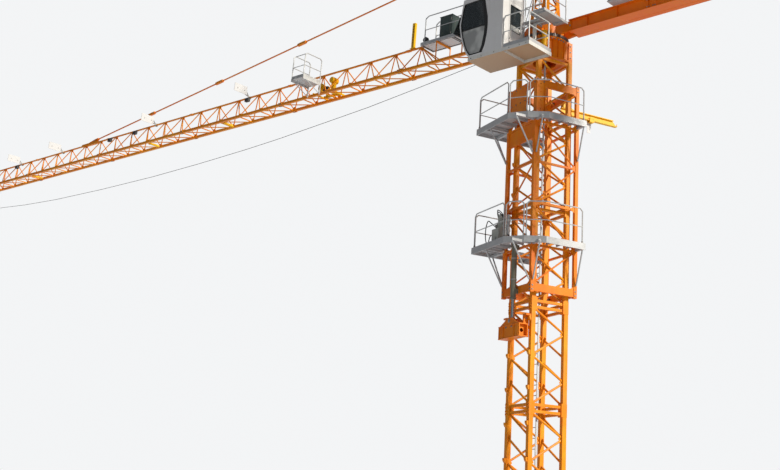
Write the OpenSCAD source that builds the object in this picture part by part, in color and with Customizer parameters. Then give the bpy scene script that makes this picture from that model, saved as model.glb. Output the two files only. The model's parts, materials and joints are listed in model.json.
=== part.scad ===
// Tower crane on a lattice mast, built as a model at half real size, in millimetres.
// Frame: X along the jib, Y to the cab side, Z up; the origin is on the mast axis at ground level.

/* [Mast] */
// Spacing of the mast legs, centre to centre
mast_w = 575; // [540:5:600]
// Side of a square mast leg
mast_leg = 70; // [60:2:76]
// Height of one mast section
section_h = 1500; // [1440:10:1560]
// Height of the foot section
foot_h = 925; // [850:5:1000]
// Height of the top section that carries the slewing support
mast_top_h = 985; // [900:5:1060]
// Turn of the mast faces against the jib at rest, in degrees
mast_turn = 20.7; // [0:0.1:40]
// Thickness of a mast brace
mast_brace = 34; // [26:1:40]
// Side of a climbing lug, up the leg
lug_h = 62; // [50:1:80]
// How far a climbing lug stands out of its leg
lug_out = 32; // [24:1:34]
// Side of a foot plate
foot_plate_w = 230; // [220:2:260]
// Thickness of a foot plate
foot_plate_t = 22; // [16:1:30]
// Radius of an anchor bolt hole
anchor_hole_r = 13; // [9:0.5:15]
// Spacing of the anchor bolts in a foot plate
anchor_spacing = 150; // [140:2:160]

/* [Climbing cage] */
// Spacing of the cage legs, centre to centre
cage_w = 765; // [757:1:780]
// Side of a cage leg
cage_leg = 56; // [50:1:60]
// Height of the lower end of the cage
cage_z = 4070; // [4060:2:4080]
// Height of the cage, legs from end to end
cage_h = 3395; // [3340:5:3410]
// Thickness of a cage brace
cage_brace = 26; // [20:1:28]
// Underside of the lower platform
low_deck_z = 4785; // [4770:5:4800]
// Underside of the upper platform
high_deck_z = 6750; // [6730:5:6770]
// Depth of the platform edge beam
edge_h = 100; // [80:2:110]
// Height of a handrail above the deck
rail_h = 540; // [500:5:560]
// Diameter of a handrail tube
rail_d = 20; // [16:1:24]
// Outer diameter of the climbing cylinder
ram_d = 84; // [76:1:90]
// Diameter of the piston rod
rod_d = 50; // [44:1:56]
// Travel of the cage upwards from rest
climb_up = 280; // [240:5:290]
// Travel of the cage downwards from rest
climb_down = 250; // [200:5:270]
// Height of the middle of the climbing yoke
yoke_z = 3520; // [3505:5:3530]
// How far the section beam stands out of the cage
beam_reach = 1030; // [900:10:1100]
// Reach of a platform on its long side, from the mast axis
deck_far_x = 785; // [740:5:820]

/* [Slewing] */
// Height of the fixed slewing support
support_h = 350; // [320:5:370]
// Width of the fixed slewing support
support_w = 644; // [620:2:648]
// Outer radius of the toothed ring over the teeth
ring_r = 392; // [380:1:400]
// Number of teeth on the ring
ring_teeth = 72; // [48:1:90]
// Height of the toothed ring
ring_h = 46; // [40:1:50]
// Radius of the bore in the toothed ring
ring_bore_r = 300; // [290:1:310]
// Height of the turntable drum
drum_h = 170; // [150:5:190]

/* [Jib] */
// Distance from the mast axis to the jib foot pins
jib_foot_x = 475; // [460:5:500]
// Height of the jib foot pins above the turntable's lower face
jib_foot_h = 100; // [80:1:110]
// Rise of the jib, in degrees
jib_rise = 0.85; // [0:0.05:1.5]
// Spacing of the lower chords, centre to centre
jib_w = 370; // [350:5:390]
// Height from the lower chords to the top chord, centre to centre
jib_h = 465; // [450:5:480]
// Length of one jib bay
jib_bay = 645; // [620:5:660]
// Distance from the foot pins to the first node of the top chord
jib_root_l = 2275; // [2250:5:2300]
// Side of a lower chord
chord_w = 48; // [40:1:54]
// Diameter of the top chord
top_chord_d = 40; // [34:1:44]
// Diameter of a jib brace
jib_brace = 22; // [16:1:24]
// Diameter of the jib tie bar
tie_d = 30; // [24:1:34]
// Diameter of the hoist rope
rope_d = 8; // [6:0.5:10]

/* [Counter-jib] */
// Distance from the mast axis to the start of the counter-jib girders
counter_x = 560; // [550:5:580]
// Length of the counter-jib girders
counter_l = 4940; // [4800:10:5100]
// Depth of a girder
girder_h = 205; // [190:1:215]
// Width of a girder flange
flange_w = 84; // [76:1:90]
// Thickness of a girder flange
flange_t = 14; // [10:1:16]
// Thickness of a girder web
web_t = 10; // [8:1:14]
// Width over both girders
counter_w = 300; // [290:2:320]

/* [Cab] */
// Length of the cab along its floor
cab_l = 660; // [640:5:680]
// Width of the cab
cab_w = 545; // [535:1:555]
// Height of the cab
cab_h = 1030; // [1000:5:1060]
// Thickness of a cab wall
cab_wall = 20; // [14:1:24]
// Thickness of a pane
pane_t = 6; // [4:1:8]
// Clear distance from the mast axis to the inner side of the cab frame
cab_y = 480; // [478:1:490]
// Underside of the cab frame
cab_z = 7760; // [7755:1:7770]
// Depth of the cab frame
cab_frame_h = 60; // [50:1:66]
// Length of the platform behind the cab
porch_l = 530; // [500:5:560]
// Width of the cab door
door_w = 320; // [300:5:335]
// Height of the cab door
door_h = 860; // [820:5:880]

/* [Tower head] */
// Height of the tower head's top above ground
head_top_z = 10450; // [10350:10:10550]
// Spacing of the tower head's legs at the foot, along the jib
head_l = 340; // [330:5:350]
// Spacing of the tower head's legs at the foot, across the jib
head_w = 340; // [330:5:350]
// Spacing of the legs at the top
head_top_w = 130; // [110:2:150]

/* [Hidden] */

// Overrun of a cut
cut = 2;
// Sides of a lattice bar
bar_sides = 8;
// Faces of a round shaft or plate
round_sides = 48;
// Radial clearance of a shaft in its bore
run_gap = 0.05;
// Clearance between faces that slide or turn past each other
face_gap = 0.3;

// Height of the rope's middle over the bottom of a sheave's groove
rope_gap = rope_d / 2 + face_gap;

// Heights worked out from the mast
section_count = 4;
mast_top_z = foot_h + section_count * section_h + mast_top_h;
support_top_z = mast_top_z + support_h;
table_z = support_top_z + ring_h + face_gap;
table_top_z = table_z + drum_h;
jib_z = table_z + jib_foot_h;
girder_z = table_z - 11;
mast_out = (mast_w + mast_leg) / 2;
sill_h = 115;
sill_w = 40;

// Bar with few sides between two points
module bar(p, q, d, sides = bar_sides) {
    v = q - p;
    l = norm(v);
    translate(p) rotate([0, acos(v.z / l), atan2(v.y, v.x)]) cylinder(h = l, d = d, $fn = sides);
}

// Rectangular beam between two points; tall is measured in the upright plane, wide across it
module beam(p, q, tall, wide) {
    v = q - p;
    l = norm(v);
    translate(p) rotate([0, acos(v.z / l), atan2(v.y, v.x)])
        translate([-tall / 2, -wide / 2, 0]) cube([tall, wide, l]);
}

// Bars through a list of points, one after the other
module run(points, d) {
    for (i = [0 : len(points) - 2]) bar(points[i], points[i + 1], d);
}

// Box from its lowest corner to its highest
module block(low, high) {
    translate(low) cube(high - low);
}

// The mast, its cage and their fittings are turned against the jib
module in_mast() {
    rotate([0, 0, -mast_turn]) children();
}

// The four corners of a square, as signs
corners = [[1, 1], [-1, 1], [-1, -1], [1, -1]];

// Foot plates and ground ties
tie_h = 60;
tie_w = 50;
hub_w = 160;
rib_t = 12;
module base_frame() {
    half = mast_w / 2;
    color("darkorange") in_mast() {
        linear_extrude(foot_plate_t) difference() {
            union() {
                for (c = corners) translate(c * half) square(foot_plate_w, center = true);
                for (a = [0 : 90 : 270]) rotate(a) translate([half, 0]) square([tie_w, mast_w], center = true);
                for (a = [45, 135]) rotate(a) square([mast_w * sqrt(2), tie_w], center = true);
                square(hub_w, center = true);
            }
            for (c = corners, h = corners) translate(c * half + h * anchor_spacing / 2)
                circle(r = anchor_hole_r, $fn = round_sides);
        }
        for (c = corners) translate([c.x * half, c.y * half, 0]) {
            translate([-mast_leg / 2, -mast_leg / 2, foot_plate_t / 2])
                cube([mast_leg, mast_leg, tie_h - foot_plate_t / 2]);
            for (a = [0 : 90 : 270]) rotate([90, 0, a]) linear_extrude(rib_t, center = true) polygon([
                [0, foot_plate_t / 2], [foot_plate_w * 0.46, foot_plate_t / 2], [foot_plate_w * 0.46, foot_plate_t + rib_t],
                [mast_leg / 2 + rib_t, tie_h - rib_t / 2], [0, tie_h - rib_t / 2]]);
        }
    }
}

// Sleeve that joins two legs, and its bolts' block
sleeve_h = 95;
sleeve_in = 22;
sleeve_out = 3;
strut_w = 40;
lug_pitch = 500;
lug_w = 56;
face_panels = 4;

// Wedge-shaped lug that the climbing yoke rests on, pointing to +Y from the face of its leg
module climbing_lug() {
    rotate([90, 0, 90]) translate([0, 0, -lug_w / 2]) linear_extrude(lug_w)
        polygon([[-cut, 0], [lug_out * 0.45, 0], [lug_out, lug_h * 0.55], [lug_out, lug_h], [-cut, lug_h]]);
}

// Sleeve round the end of a leg, almost flush on the outer sides of the mast
module leg_sleeve(c, z) {
    out = mast_out + sleeve_out;
    w = mast_leg + sleeve_in + sleeve_out;
    translate([c.x > 0 ? out - w : -out, c.y > 0 ? out - w : -out, z]) cube([w, w, sleeve_h]);
}

// One mast section from its lower end to its upper end, with struts at the ends given
module mast_section(z0, z1, low_sleeve = true, high_sleeve = true, panels = face_panels) {
    half = mast_w / 2;
    h = z1 - z0;
    step = h / panels;
    for (c = corners) {
        translate([c.x * half - mast_leg / 2, c.y * half - mast_leg / 2, z0])
            cube([mast_leg, mast_leg, h]);
        if (low_sleeve) leg_sleeve(c, z0);
        if (high_sleeve) leg_sleeve(c, z1 - sleeve_h);
    }
    for (z = [z0 + sleeve_h / 2, z1 - sleeve_h / 2], s = [-1, 1]) {
        block([-half, s * half - strut_w / 2, z - strut_w / 2], [half, s * half + strut_w / 2, z + strut_w / 2]);
        block([s * half - strut_w / 2, -half, z - strut_w / 2], [s * half + strut_w / 2, half, z + strut_w / 2]);
    }
    low = z0 + sleeve_h / 2;
    pitch = (h - sleeve_h) / panels;
    for (i = [0 : panels - 1]) {
        a = i % 2 == 0 ? 1 : -1;
        za = low + i * pitch;
        zb = za + pitch;
        for (s = [-1, 1]) {
            bar([s * half, a * half, za], [s * half, -a * half, zb], mast_brace);
            bar([-half, s * half, za], [half, s * half, zb], mast_brace);
        }
    }
}

// Lugs on the two legs of the face that the climbing cylinder works on
module lug_row(z0, z1) {
    for (z = [lug_pitch / 2 + foot_h : lug_pitch : mast_top_z], s = [-1, 1])
        if (z > z0 + sleeve_h && z + lug_h < z1 - sleeve_h)
            translate([s * mast_w / 2, mast_out, z]) climbing_lug();
}

function section_z(i) = foot_h + i * section_h;

module mast_tube(i) {
    color("darkorange") in_mast() {
        mast_section(section_z(i), section_z(i + 1));
        lug_row(section_z(i), section_z(i + 1));
    }
}
module mast_section_1() { color("darkorange") in_mast() mast_section(tie_h, foot_h, false, true, 2); }
module mast_section_2() { mast_tube(0); }
module mast_section_3() { mast_tube(1); }
module mast_section_4() { mast_tube(2); }
module mast_section_5() { mast_tube(3); }
module mast_top_section() {
    color("darkorange") in_mast() mast_section(section_z(section_count), mast_top_z, true, false, 2);
}

// Ladder inside the mast, on brackets to the struts at every section joint
ladder_w = 200;
ladder_pitch = 150;
ladder_y = 150;
ladder_x = -152;
stile_w = 26;
stile_t = 12;
rung_d = 12;
bracket_t = 14;
bracket_share = [-0.3, 0.5];
module mast_ladder() {
    low = tie_h;
    high = support_top_z - sleeve_h;
    reach = (mast_w - strut_w) / 2 - ladder_y - face_gap;
    color("gainsboro") in_mast() translate([ladder_x, ladder_y, 0]) {
        for (s = [-1, 1]) block([s * ladder_w / 2 - stile_t / 2, -stile_w / 2, low],
            [s * ladder_w / 2 + stile_t / 2, stile_w / 2, high]);
        for (z = [low + ladder_pitch : ladder_pitch : high - stile_w])
            bar([-ladder_w / 2, 0, z], [ladder_w / 2, 0, z], rung_d, 6);
        for (i = [0 : section_count]) {
            z = section_z(i) + (sleeve_h - bracket_t) / 2;
            block([-ladder_w / 2, 0, z], [ladder_w / 2, stile_w / 2 + bracket_t, z + bracket_t]);
            for (k = bracket_share) block([k * ladder_w - bracket_t / 2, stile_w / 2, z],
                [k * ladder_w + bracket_t / 2, reach, z + bracket_t]);
        }
    }
}

// Climbing yoke: a hollow box beam in front of the legs. Its ears hook over two lugs, and
// the foot of the piston rod is pinned between its two gussets.
yoke_l = 580;
yoke_d = 150;
yoke_h = 190;
yoke_wall = 12;
yoke_gap = 6;
yoke_y = mast_out + lug_out + yoke_gap;
yoke_top_z = yoke_z + yoke_h / 2;
ram_y = cage_w / 2 + sill_w / 2 + ram_d * 0.6;
yoke_lug = 5;
ear_t = 26;
ear_gap = 12;
gusset_t = 8;
gusset_in = 46;
gusset_h = 100;
gusset_top = 60;
gusset_foot = 261;
eye_pin_r = 16;
eye_pin_h = 60;
eye_w = 60;
eye_d = 70;
eye_h = 100;
eye_gap = 10;
module climbing_yoke() {
    low = yoke_z - yoke_h / 2;
    lug_z = lug_pitch / 2 + foot_h + yoke_lug * lug_pitch + lug_h + run_gap;
    color("chocolate") in_mast() {
        difference() {
            block([-yoke_l / 2, yoke_y, low], [yoke_l / 2, yoke_y + yoke_d, yoke_top_z]);
            block([-yoke_l / 2 - cut, yoke_y + yoke_wall, low + yoke_wall],
                [yoke_l / 2 + cut, yoke_y + yoke_d - yoke_wall, yoke_top_z - yoke_wall]);
        }
        for (s = [-1, 1]) {
            out = mast_w / 2 - lug_w / 2 - ear_gap;
            mirror([s < 0 ? 1 : 0, 0, 0]) {
                difference() {
                    block([out - ear_t, yoke_y + yoke_wall / 2, low + yoke_wall / 2],
                        [out - ear_t + yoke_wall, yoke_y + yoke_d - yoke_wall / 2, yoke_top_z - yoke_wall / 2]);
                    translate([out - ear_t - cut, yoke_y + yoke_d / 2, yoke_z]) rotate([0, 90, 0])
                        cylinder(h = yoke_wall + 2 * cut, r = yoke_d / 5, $fn = round_sides);
                }
                block([out - ear_t, mast_out + face_gap, low + yoke_wall / 3],
                    [out, yoke_y + yoke_wall / 2, lug_z + ear_t]);
                block([out - ear_t, mast_out + face_gap, yoke_top_z - yoke_wall / 2],
                    [out, yoke_y + 2 * ear_t, lug_z + ear_t]);
                block([out - cut, mast_out + face_gap, lug_z],
                    [(mast_w + lug_w) / 2, yoke_y + 2 * ear_t, lug_z + ear_t]);
            }
            translate([0, ram_y + s * (gusset_in + gusset_t / 2) + gusset_t / 2, yoke_top_z])
                rotate([90, 0, 0]) linear_extrude(gusset_t) polygon([[-gusset_foot, -yoke_wall / 2],
                    [gusset_foot, -yoke_wall / 2], [gusset_foot, 0], [gusset_top, gusset_h],
                    [-gusset_top, gusset_h], [-gusset_foot, 0]]);
        }
        translate([0, ram_y, yoke_top_z + eye_pin_h]) rotate([90, 0, 0])
            cylinder(h = 2 * (gusset_in + gusset_t) - cut, r = eye_pin_r - run_gap, center = true,
                $fn = round_sides);
    }
}

// Piston rod: its eye turns on the yoke's pin, and it runs up into the cylinder
rod_reach = 390;
rod_hold = 60;
barrel_z = yoke_top_z + rod_reach;
rod_top_z = barrel_z + climb_up + rod_hold;
module ram_rod() {
    foot = yoke_top_z + eye_gap;
    color("silver") in_mast() translate([0, ram_y, 0]) difference() {
        union() {
            translate([0, 0, foot + eye_h / 2]) cylinder(h = rod_top_z - foot - eye_h / 2, d = rod_d,
                $fn = round_sides);
            block([-eye_w / 2, -eye_d / 2, foot], [eye_w / 2, eye_d / 2, foot + eye_h]);
        }
        translate([0, 0, yoke_top_z + eye_pin_h]) rotate([90, 0, 0])
            cylinder(h = eye_d + 2 * cut, r = eye_pin_r, center = true, $fn = round_sides);
    }
}

// Climbing cylinder, carried by the cage
barrel_l = 960;
module ram_barrel() {
    cap = ram_d / 3;
    color("gray") in_mast() translate([0, ram_y, barrel_z]) difference() {
        union() {
            cylinder(h = barrel_l, d = ram_d, $fn = round_sides);
            cylinder(h = cap, d = ram_d + cap / 2, $fn = round_sides);
            translate([0, 0, barrel_l - cap]) cylinder(h = cap, d = ram_d + cap / 2, $fn = round_sides);
        }
        translate([0, 0, -cut]) cylinder(h = rod_top_z - barrel_z + climb_down + cap + cut,
            d = rod_d + 2 * run_gap, $fn = round_sides);
    }
    sill_face = cage_w / 2 + sill_w / 2 + face_gap;
    color("gray") in_mast() difference() {
        for (z = [cage_z + sill_w / 2, low_deck_z - cage_brace])
            block([-ram_d * 0.7, sill_face, z], [ram_d * 0.7, ram_y, z + sill_h * 0.6]);
        translate([0, ram_y, cage_z]) cylinder(h = barrel_l, d = ram_d - cut, $fn = round_sides);
    }
}

// Fixed slewing support: a plated box on the mast top, with a round seat for the ring
support_wall = 14;
seat_t = 24;
hatch_r = 190;
module slewing_support() {
    half = support_w / 2;
    color("orangered") in_mast() difference() {
        union() {
            block([-half, -half, mast_top_z], [half, half, mast_top_z + seat_t]);
            block([-half + seat_t, -half + seat_t, mast_top_z], [half - seat_t, half - seat_t, support_top_z]);
            for (s = [-1, 1], e = [-1, 1]) {
                block([min(s * half, s * (half - mast_leg)), min(e * half, e * (half - mast_leg)), mast_top_z],
                    [max(s * half, s * (half - mast_leg)), max(e * half, e * (half - mast_leg)), support_top_z - seat_t]);
            }
            translate([0, 0, support_top_z - seat_t]) cylinder(h = seat_t, r = ring_bore_r + 70, $fn = round_sides);
        }
        block([-half + seat_t + support_wall, -half + seat_t + support_wall, mast_top_z + seat_t],
            [half - seat_t - support_wall, half - seat_t - support_wall, support_top_z - seat_t]);
        translate([0, 0, mast_top_z - cut])
            cylinder(h = support_h + 2 * cut, r = hatch_r, $fn = round_sides);
        block([ladder_x - ladder_w / 2 - stile_w, ladder_y - stile_w, mast_top_z - cut],
            [ladder_x + ladder_w / 2 + stile_w, ladder_y + stile_w, mast_top_z + seat_t + cut]);
    }
}

// Toothed ring of the slewing bearing
tooth_share = 0.5;
module slewing_ring() {
    root_r = ring_r - 14;
    step = 360 / ring_teeth;
    color("dimgray") translate([0, 0, support_top_z + run_gap]) difference() {
        linear_extrude(ring_h) polygon([for (i = [0 : ring_teeth - 1], k = [0 : 3])
            let (a = step * (i + [0, 0.15, tooth_share, tooth_share + 0.15][k]), r = [root_r, ring_r, ring_r, root_r][k])
            [r * cos(a), r * sin(a)]]);
        translate([0, 0, -cut]) cylinder(h = ring_h + 2 * cut, r = ring_bore_r, $fn = round_sides);
    }
}

// Climbing cage
cage_top_z = cage_z + cage_h;
cage_out = (cage_w + cage_leg) / 2;
module cage_ring(z, h) {
    half = cage_w / 2;
    for (s = [-1, 1]) {
        block([-half, s * half - sill_w / 2, z], [half, s * half + sill_w / 2, z + h]);
        block([s * half - sill_w / 2, -half, z], [s * half + sill_w / 2, half, z + h]);
    }
}
cage_levels = [cage_z + sill_h, low_deck_z, low_deck_z + 655, low_deck_z + 1310, high_deck_z, cage_top_z - sill_h];
module cage_frame() {
    half = cage_w / 2;
    strut = cage_brace + 6;
    color("orangered") in_mast() {
        for (c = corners) translate([c.x * half - cage_leg / 2, c.y * half - cage_leg / 2, cage_z])
            cube([cage_leg, cage_leg, cage_h]);
        cage_ring(cage_z + sill_w / 2, sill_h);
        cage_ring(cage_top_z - sill_h - sill_w / 2, sill_h);
        block([-half, half - collar_t, high_deck_z - 275], [half, half + collar_t, high_deck_z - 25]);
        for (i = [1 : len(cage_levels) - 2]) {
            z = cage_levels[i];
            for (s = [-1, 1]) block([s * half - strut / 2, -half, z - strut / 2], [s * half + strut / 2, half, z + strut / 2]);
            block([-half, half - strut / 2, z - strut / 2], [half, half + strut / 2, z + strut / 2]);
            if (i == 1 || i == len(cage_levels) - 2)
                block([-half, -half - strut / 2, z - strut / 2], [half, -half + strut / 2, z + strut / 2]);
        }
        for (i = [0 : len(cage_levels) - 2]) {
            a = i % 2 == 0 ? 1 : -1;
            z0 = cage_levels[i];
            z1 = cage_levels[i + 1];
            for (s = [-1, 1]) bar([s * half, a * half, z0], [s * half, -a * half, z1], cage_brace);
            if (i > 0) bar([a * half, half, z0], [-a * half, half, z1], cage_brace);
        }
    }
}

// Collar plates on the cage above the upper platform, one with lightening holes
collar_t = 12;
collar_z = high_deck_z + 125;
collar_h = 550;
collar_w = 165;
collar_hole_r = 12;
collar_x0 = -150;
collar_x1 = 290;
module cage_collars() {
    face = cage_out + face_gap;
    color("gold") in_mast() {
        block([collar_x0, face, collar_z], [collar_x1, face + collar_t, collar_z + collar_h]);
        difference() {
            block([-face - collar_t, cage_out - collar_w, collar_z], [-face, cage_out, collar_z + collar_h]);
            for (k = [0 : 3]) translate([-face, cage_out - collar_w / 2, collar_z + collar_h * (k + 0.5) / 4])
                rotate([0, 90, 0]) cylinder(h = 4 * collar_t, r = collar_hole_r, center = true, $fn = round_sides);
        }
        for (y = [cage_out - collar_w, cage_out - rib_t]) block([-face - 2.8 * collar_t, y + cut / 2, collar_z + collar_t],
            [-face - collar_t * 0.9, y + rib_t - cut / 2, collar_z + collar_h - collar_t]);
    }
}

// Guide rollers on the cage, running along the mast legs on the three sides without lugs
roller_r = 14;
roller_w = 60;
roller_gap = 8.5;
module guide_rollers() {
    plate = 10;
    back = cage_w / 2 - sill_w / 2 - face_gap;
    color("dimgray") in_mast() for (z = [cage_z + sill_w / 2, cage_top_z - sill_h - sill_w / 2], a = [0, 180, 270], s = [-1, 1])
        rotate([0, 0, a]) translate([0, s * (mast_w / 2 - mast_leg / 4), z + sill_h / 2]) {
            translate([mast_out + roller_gap + roller_r, 0, 0]) rotate([90, 0, 0])
                cylinder(h = roller_w, r = roller_r, center = true, $fn = round_sides);
            for (e = [-1, 1]) translate([mast_out + roller_gap + 4, e * (roller_w + plate) / 2 - plate / 2, -roller_r])
                cube([back - mast_out - roller_gap - 4, plate, 2 * roller_r]);
        }
}

// Outline of a cage platform, going round the three working sides of the cage
deck_x = 600;
deck_y = 760;
deck_back_y = 425;
deck_t = 14;
edge_t = 14;
deck_outline = [[-deck_x, -deck_back_y], [-deck_x, deck_x * 0.46], [-deck_x * 0.71, deck_y * 0.733],
    [-deck_x * 0.29, deck_y], [deck_far_x, deck_y], [deck_far_x, -deck_back_y]];
module deck_plan() {
    inner = cage_out + face_gap;
    difference() {
        polygon(deck_outline);
        translate([-inner, -deck_back_y - cut]) square([2 * inner, deck_back_y + inner + cut]);
        translate([-ram_d, inner - cut]) square([2 * ram_d, ram_y + ram_d - inner]);
    }
}
module cage_platform(z) {
    inner = cage_out + face_gap;
    n = len(deck_outline);
    color("gainsboro") in_mast() {
        translate([0, 0, z + edge_h - deck_t - 30]) linear_extrude(deck_t) deck_plan();
        translate([0, 0, z]) linear_extrude(edge_h) intersection() {
            deck_plan();
            union() for (i = [0 : n - 2]) {
                p = deck_outline[i];
                q = deck_outline[i + 1];
                translate(p) rotate(atan2(q.y - p.y, q.x - p.x)) translate([-edge_t, -edge_t])
                    square([norm(q - p) + 2 * edge_t, edge_t + cut]);
            }
        }
        for (x = [-deck_x + edge_t, deck_far_x - edge_t], s = [-1, 1]) {
            side = sign(x);
            y = s > 0 ? cage_w / 2 : -cage_w / 2;
            beam([x, y, z + sill_w / 2], [side * inner, y, z + sill_w / 2], sill_w, sill_w);
            bar([x, y, z + sill_w / 2], [side * (inner + rail_d * 0.7), y, z - 530], rail_d + 4);
        }
        for (x = [-cage_w / 2, cage_w / 2]) {
            beam([x, deck_y - edge_t, z + sill_w / 2], [x, inner, z + sill_w / 2], sill_w, sill_w);
            bar([x, deck_y - edge_t, z + sill_w / 2], [x, inner + rail_d * 0.7, z - 530], rail_d + 4);
        }
    }
}
module lower_platform() { cage_platform(low_deck_z); }
module upper_platform() { cage_platform(high_deck_z); }

// Handrails along the outer edge of a platform, panel by panel
rail_bend = 45;
post_inset = edge_t + rail_d / 2 + face_gap;
function inset_point(p, d) = [p.x - sign(p.x) * d, p.y - sign(p.y) * d];
function at(c, z) = [c.x, c.y, z];
function unit(v) = v / norm(v);
module rail_panel(pts, z0, z1) {
    n = len(pts) - 1;
    u = unit(pts[1] - pts[0]);
    v = unit(pts[n] - pts[n - 1]);
    a = pts[0] + u * rail_d;
    b = pts[n] - v * rail_d;
    mid = [for (i = [1 : 1 : n - 1]) pts[i]];
    run(concat([at(a, z0), at(a, z1 - rail_bend), at(a + u * rail_bend, z1)], [for (p = mid) at(p, z1)],
        [at(b - v * rail_bend, z1), at(b, z1 - rail_bend), at(b, z0)]), rail_d);
    run([for (p = concat([a], mid, [b])) at(p, (z0 + z1) / 2)], rail_d * 0.8);
}
// Panels by the corners of the outline that they run over; one is bent and has no post at its bend
rail_panels = [[0, 1, 2], [2, 3], [3, 4], [4, 5]];
module cage_rails(z) {
    foot = z + edge_h - 30 + face_gap;
    pts = [for (p = deck_outline) inset_point(p, post_inset)];
    color("whitesmoke") in_mast() for (panel = rail_panels)
        rail_panel([for (i = panel) pts[i]], foot, z + edge_h + rail_h);
}
module lower_rails() { cage_rails(low_deck_z); }
module upper_rails() { cage_rails(high_deck_z); }

// Hydraulic power pack on the lower platform: tank, motor and hose loop
pack_l = 200;
pack_w = 170;
pack_h = 260;
pack_x = 180;
module power_pack() {
    z = low_deck_z + edge_h - 30;
    y = cage_out + 60;
    color("dimgray") in_mast() translate([pack_x, y, z]) {
        cube([pack_l, pack_w, pack_h]);
        translate([pack_l * 0.3, pack_w / 2, pack_h]) cylinder(h = pack_h * 0.8, r = pack_w * 0.3, $fn = round_sides);
        translate([pack_l * 0.75, pack_w / 2, pack_h]) cylinder(h = pack_h * 0.45, r = pack_w * 0.16, $fn = round_sides);
    }
}

// Section beam: an I-beam under the cage's upper ring, from which new mast sections hang
beam_h = 100;
beam_w = 64;
beam_flange_t = 12;
beam_web_t = 10;
beam_drop = 190;
beam_end_gap = 17.5;
hanger_w = 80;
hanger_foot = 260;
module section_beam() {
    ring_z = cage_top_z - sill_h - sill_w / 2 - face_gap;
    z = ring_z - beam_drop;
    y0 = -mast_out - beam_end_gap;
    y1 = -cage_out - beam_reach;
    hang_y = -cage_w / 2;
    color("gold") in_mast() {
        difference() {
            union() {
                for (f = [0, beam_h - beam_flange_t]) block([-beam_w / 2, y1, z + f],
                    [beam_w / 2, y0, z + f + beam_flange_t]);
                block([-beam_web_t / 2, y1, z + beam_flange_t / 2],
                    [beam_web_t / 2, y0, z + beam_h - beam_flange_t / 2]);
            }
            translate([0, y1, z + beam_flange_t]) rotate([90, 0, 90])
                linear_extrude(beam_w + 2 * cut, center = true)
                polygon([[-cut, 0], [0, 0], [beam_h, beam_h], [-cut, beam_h]]);
        }
        block([-hanger_w / 2, hang_y - sill_w / 2, z + beam_h - cut],
            [hanger_w / 2, hang_y + sill_w / 2, ring_z]);
        rotate([90, 0, 90]) linear_extrude(beam_flange_t, center = true)
            polygon([[hang_y, z + beam_h - cut], [hang_y, ring_z - cut],
                [hang_y - sill_w / 2 - cut, ring_z - cut], [hang_y - hanger_foot, z + beam_h - cut]]);
    }
}

// Turntable: drum with a top plate, jib lugs in front and girder lugs behind
table_r = 330;
hang_z = table_z + 80;
lug_plate_t = 16;
foot_pin_r = 16;
module turntable() {
    color("orangered") difference() {
        union() {
            translate([0, 0, table_z]) cylinder(h = drum_h, r = table_r, $fn = round_sides);
            translate([0, 0, support_top_z + ring_h / 4])
                cylinder(h = ring_h, r = ring_bore_r - run_gap, $fn = round_sides);
            translate([0, 0, table_top_z - seat_t])
                linear_extrude(seat_t) square([head_l + 90, head_w + 90], center = true);
            for (s = [-1, 1], e = [-1, 1]) {
                y = s * jib_w / 2 + e * (chord_w / 2 + lug_plate_t / 2 + face_gap);
                translate([0, y + lug_plate_t / 2, 0]) rotate([90, 0, 0]) linear_extrude(lug_plate_t) polygon([
                    [table_r / 2, table_z], [jib_foot_x + foot_pin_r * 2, jib_z - foot_pin_r * 2],
                    [jib_foot_x + foot_pin_r * 2, jib_z + foot_pin_r * 2], [table_r / 2, table_top_z]]);
            }
            for (s = [-1, 1]) {
                y = s * (counter_w / 2 - flange_w / 2);
                for (e = [-1, 1]) translate([0, y + e * (web_t / 2 + lug_plate_t / 2 + face_gap) + lug_plate_t / 2, 0])
                    rotate([90, 0, 0]) linear_extrude(lug_plate_t) polygon([
                        [-table_r / 2, table_z], [-ring_r, table_z], [-counter_x - 40, table_z + 20],
                        [-counter_x - 40, girder_z + girder_h - flange_t - 10], [-table_r / 2, table_top_z]]);
            }
        }
        translate([0, 0, support_top_z]) cylinder(h = drum_h + ring_h + cut * 2, r = hatch_r, $fn = round_sides);
    }
    color("orangered") {
        translate([jib_foot_x, 0, jib_z]) rotate([90, 0, 0])
            cylinder(h = jib_w + chord_w + 4 * lug_plate_t, r = foot_pin_r - run_gap, center = true, $fn = round_sides);
        for (s = [-1, 1]) translate([0, s * sheave_t + lug_plate_t / 2, 0]) rotate([90, 0, 0])
            linear_extrude(lug_plate_t) polygon([
                [jib_foot_x - 2 * foot_pin_r, jib_z - 2 * foot_pin_r],
                [jib_foot_x - 2 * foot_pin_r, jib_z + 2 * foot_pin_r],
                [root_sheave_x + sheave_t, root_sheave_z + sheave_t * 0.8],
                [root_sheave_x + sheave_t, root_sheave_z - sheave_t * 0.8]]);
        for (x = hang_x) block([x - 25, table_r * 0.3, table_z + 24], [x + 25, cab_y - face_gap, hang_z]);
    }
}

// Upright slewing motor with cooling fins, on the flank of the fixed support
motor_r = 44;
motor_h = 250;
motor_y = 252;
fin_count = 11;
module slew_motor() {
    x = -support_w / 2 - motor_r - 3;
    z = support_top_z - motor_h + 30;
    color("gold") in_mast() {
        translate([x, motor_y, z]) {
            cylinder(h = motor_h, r = motor_r * 0.8, $fn = round_sides);
            for (i = [0 : fin_count - 1]) translate([0, 0, motor_h * (i + 0.5) / fin_count])
                cylinder(h = motor_h / fin_count * 0.4, r = motor_r, $fn = round_sides);
        }
        block([x, motor_y - motor_r * 0.7, z + 20], [-support_w / 2 - face_gap, motor_y + motor_r * 0.7, z + 90]);
    }
}

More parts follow.
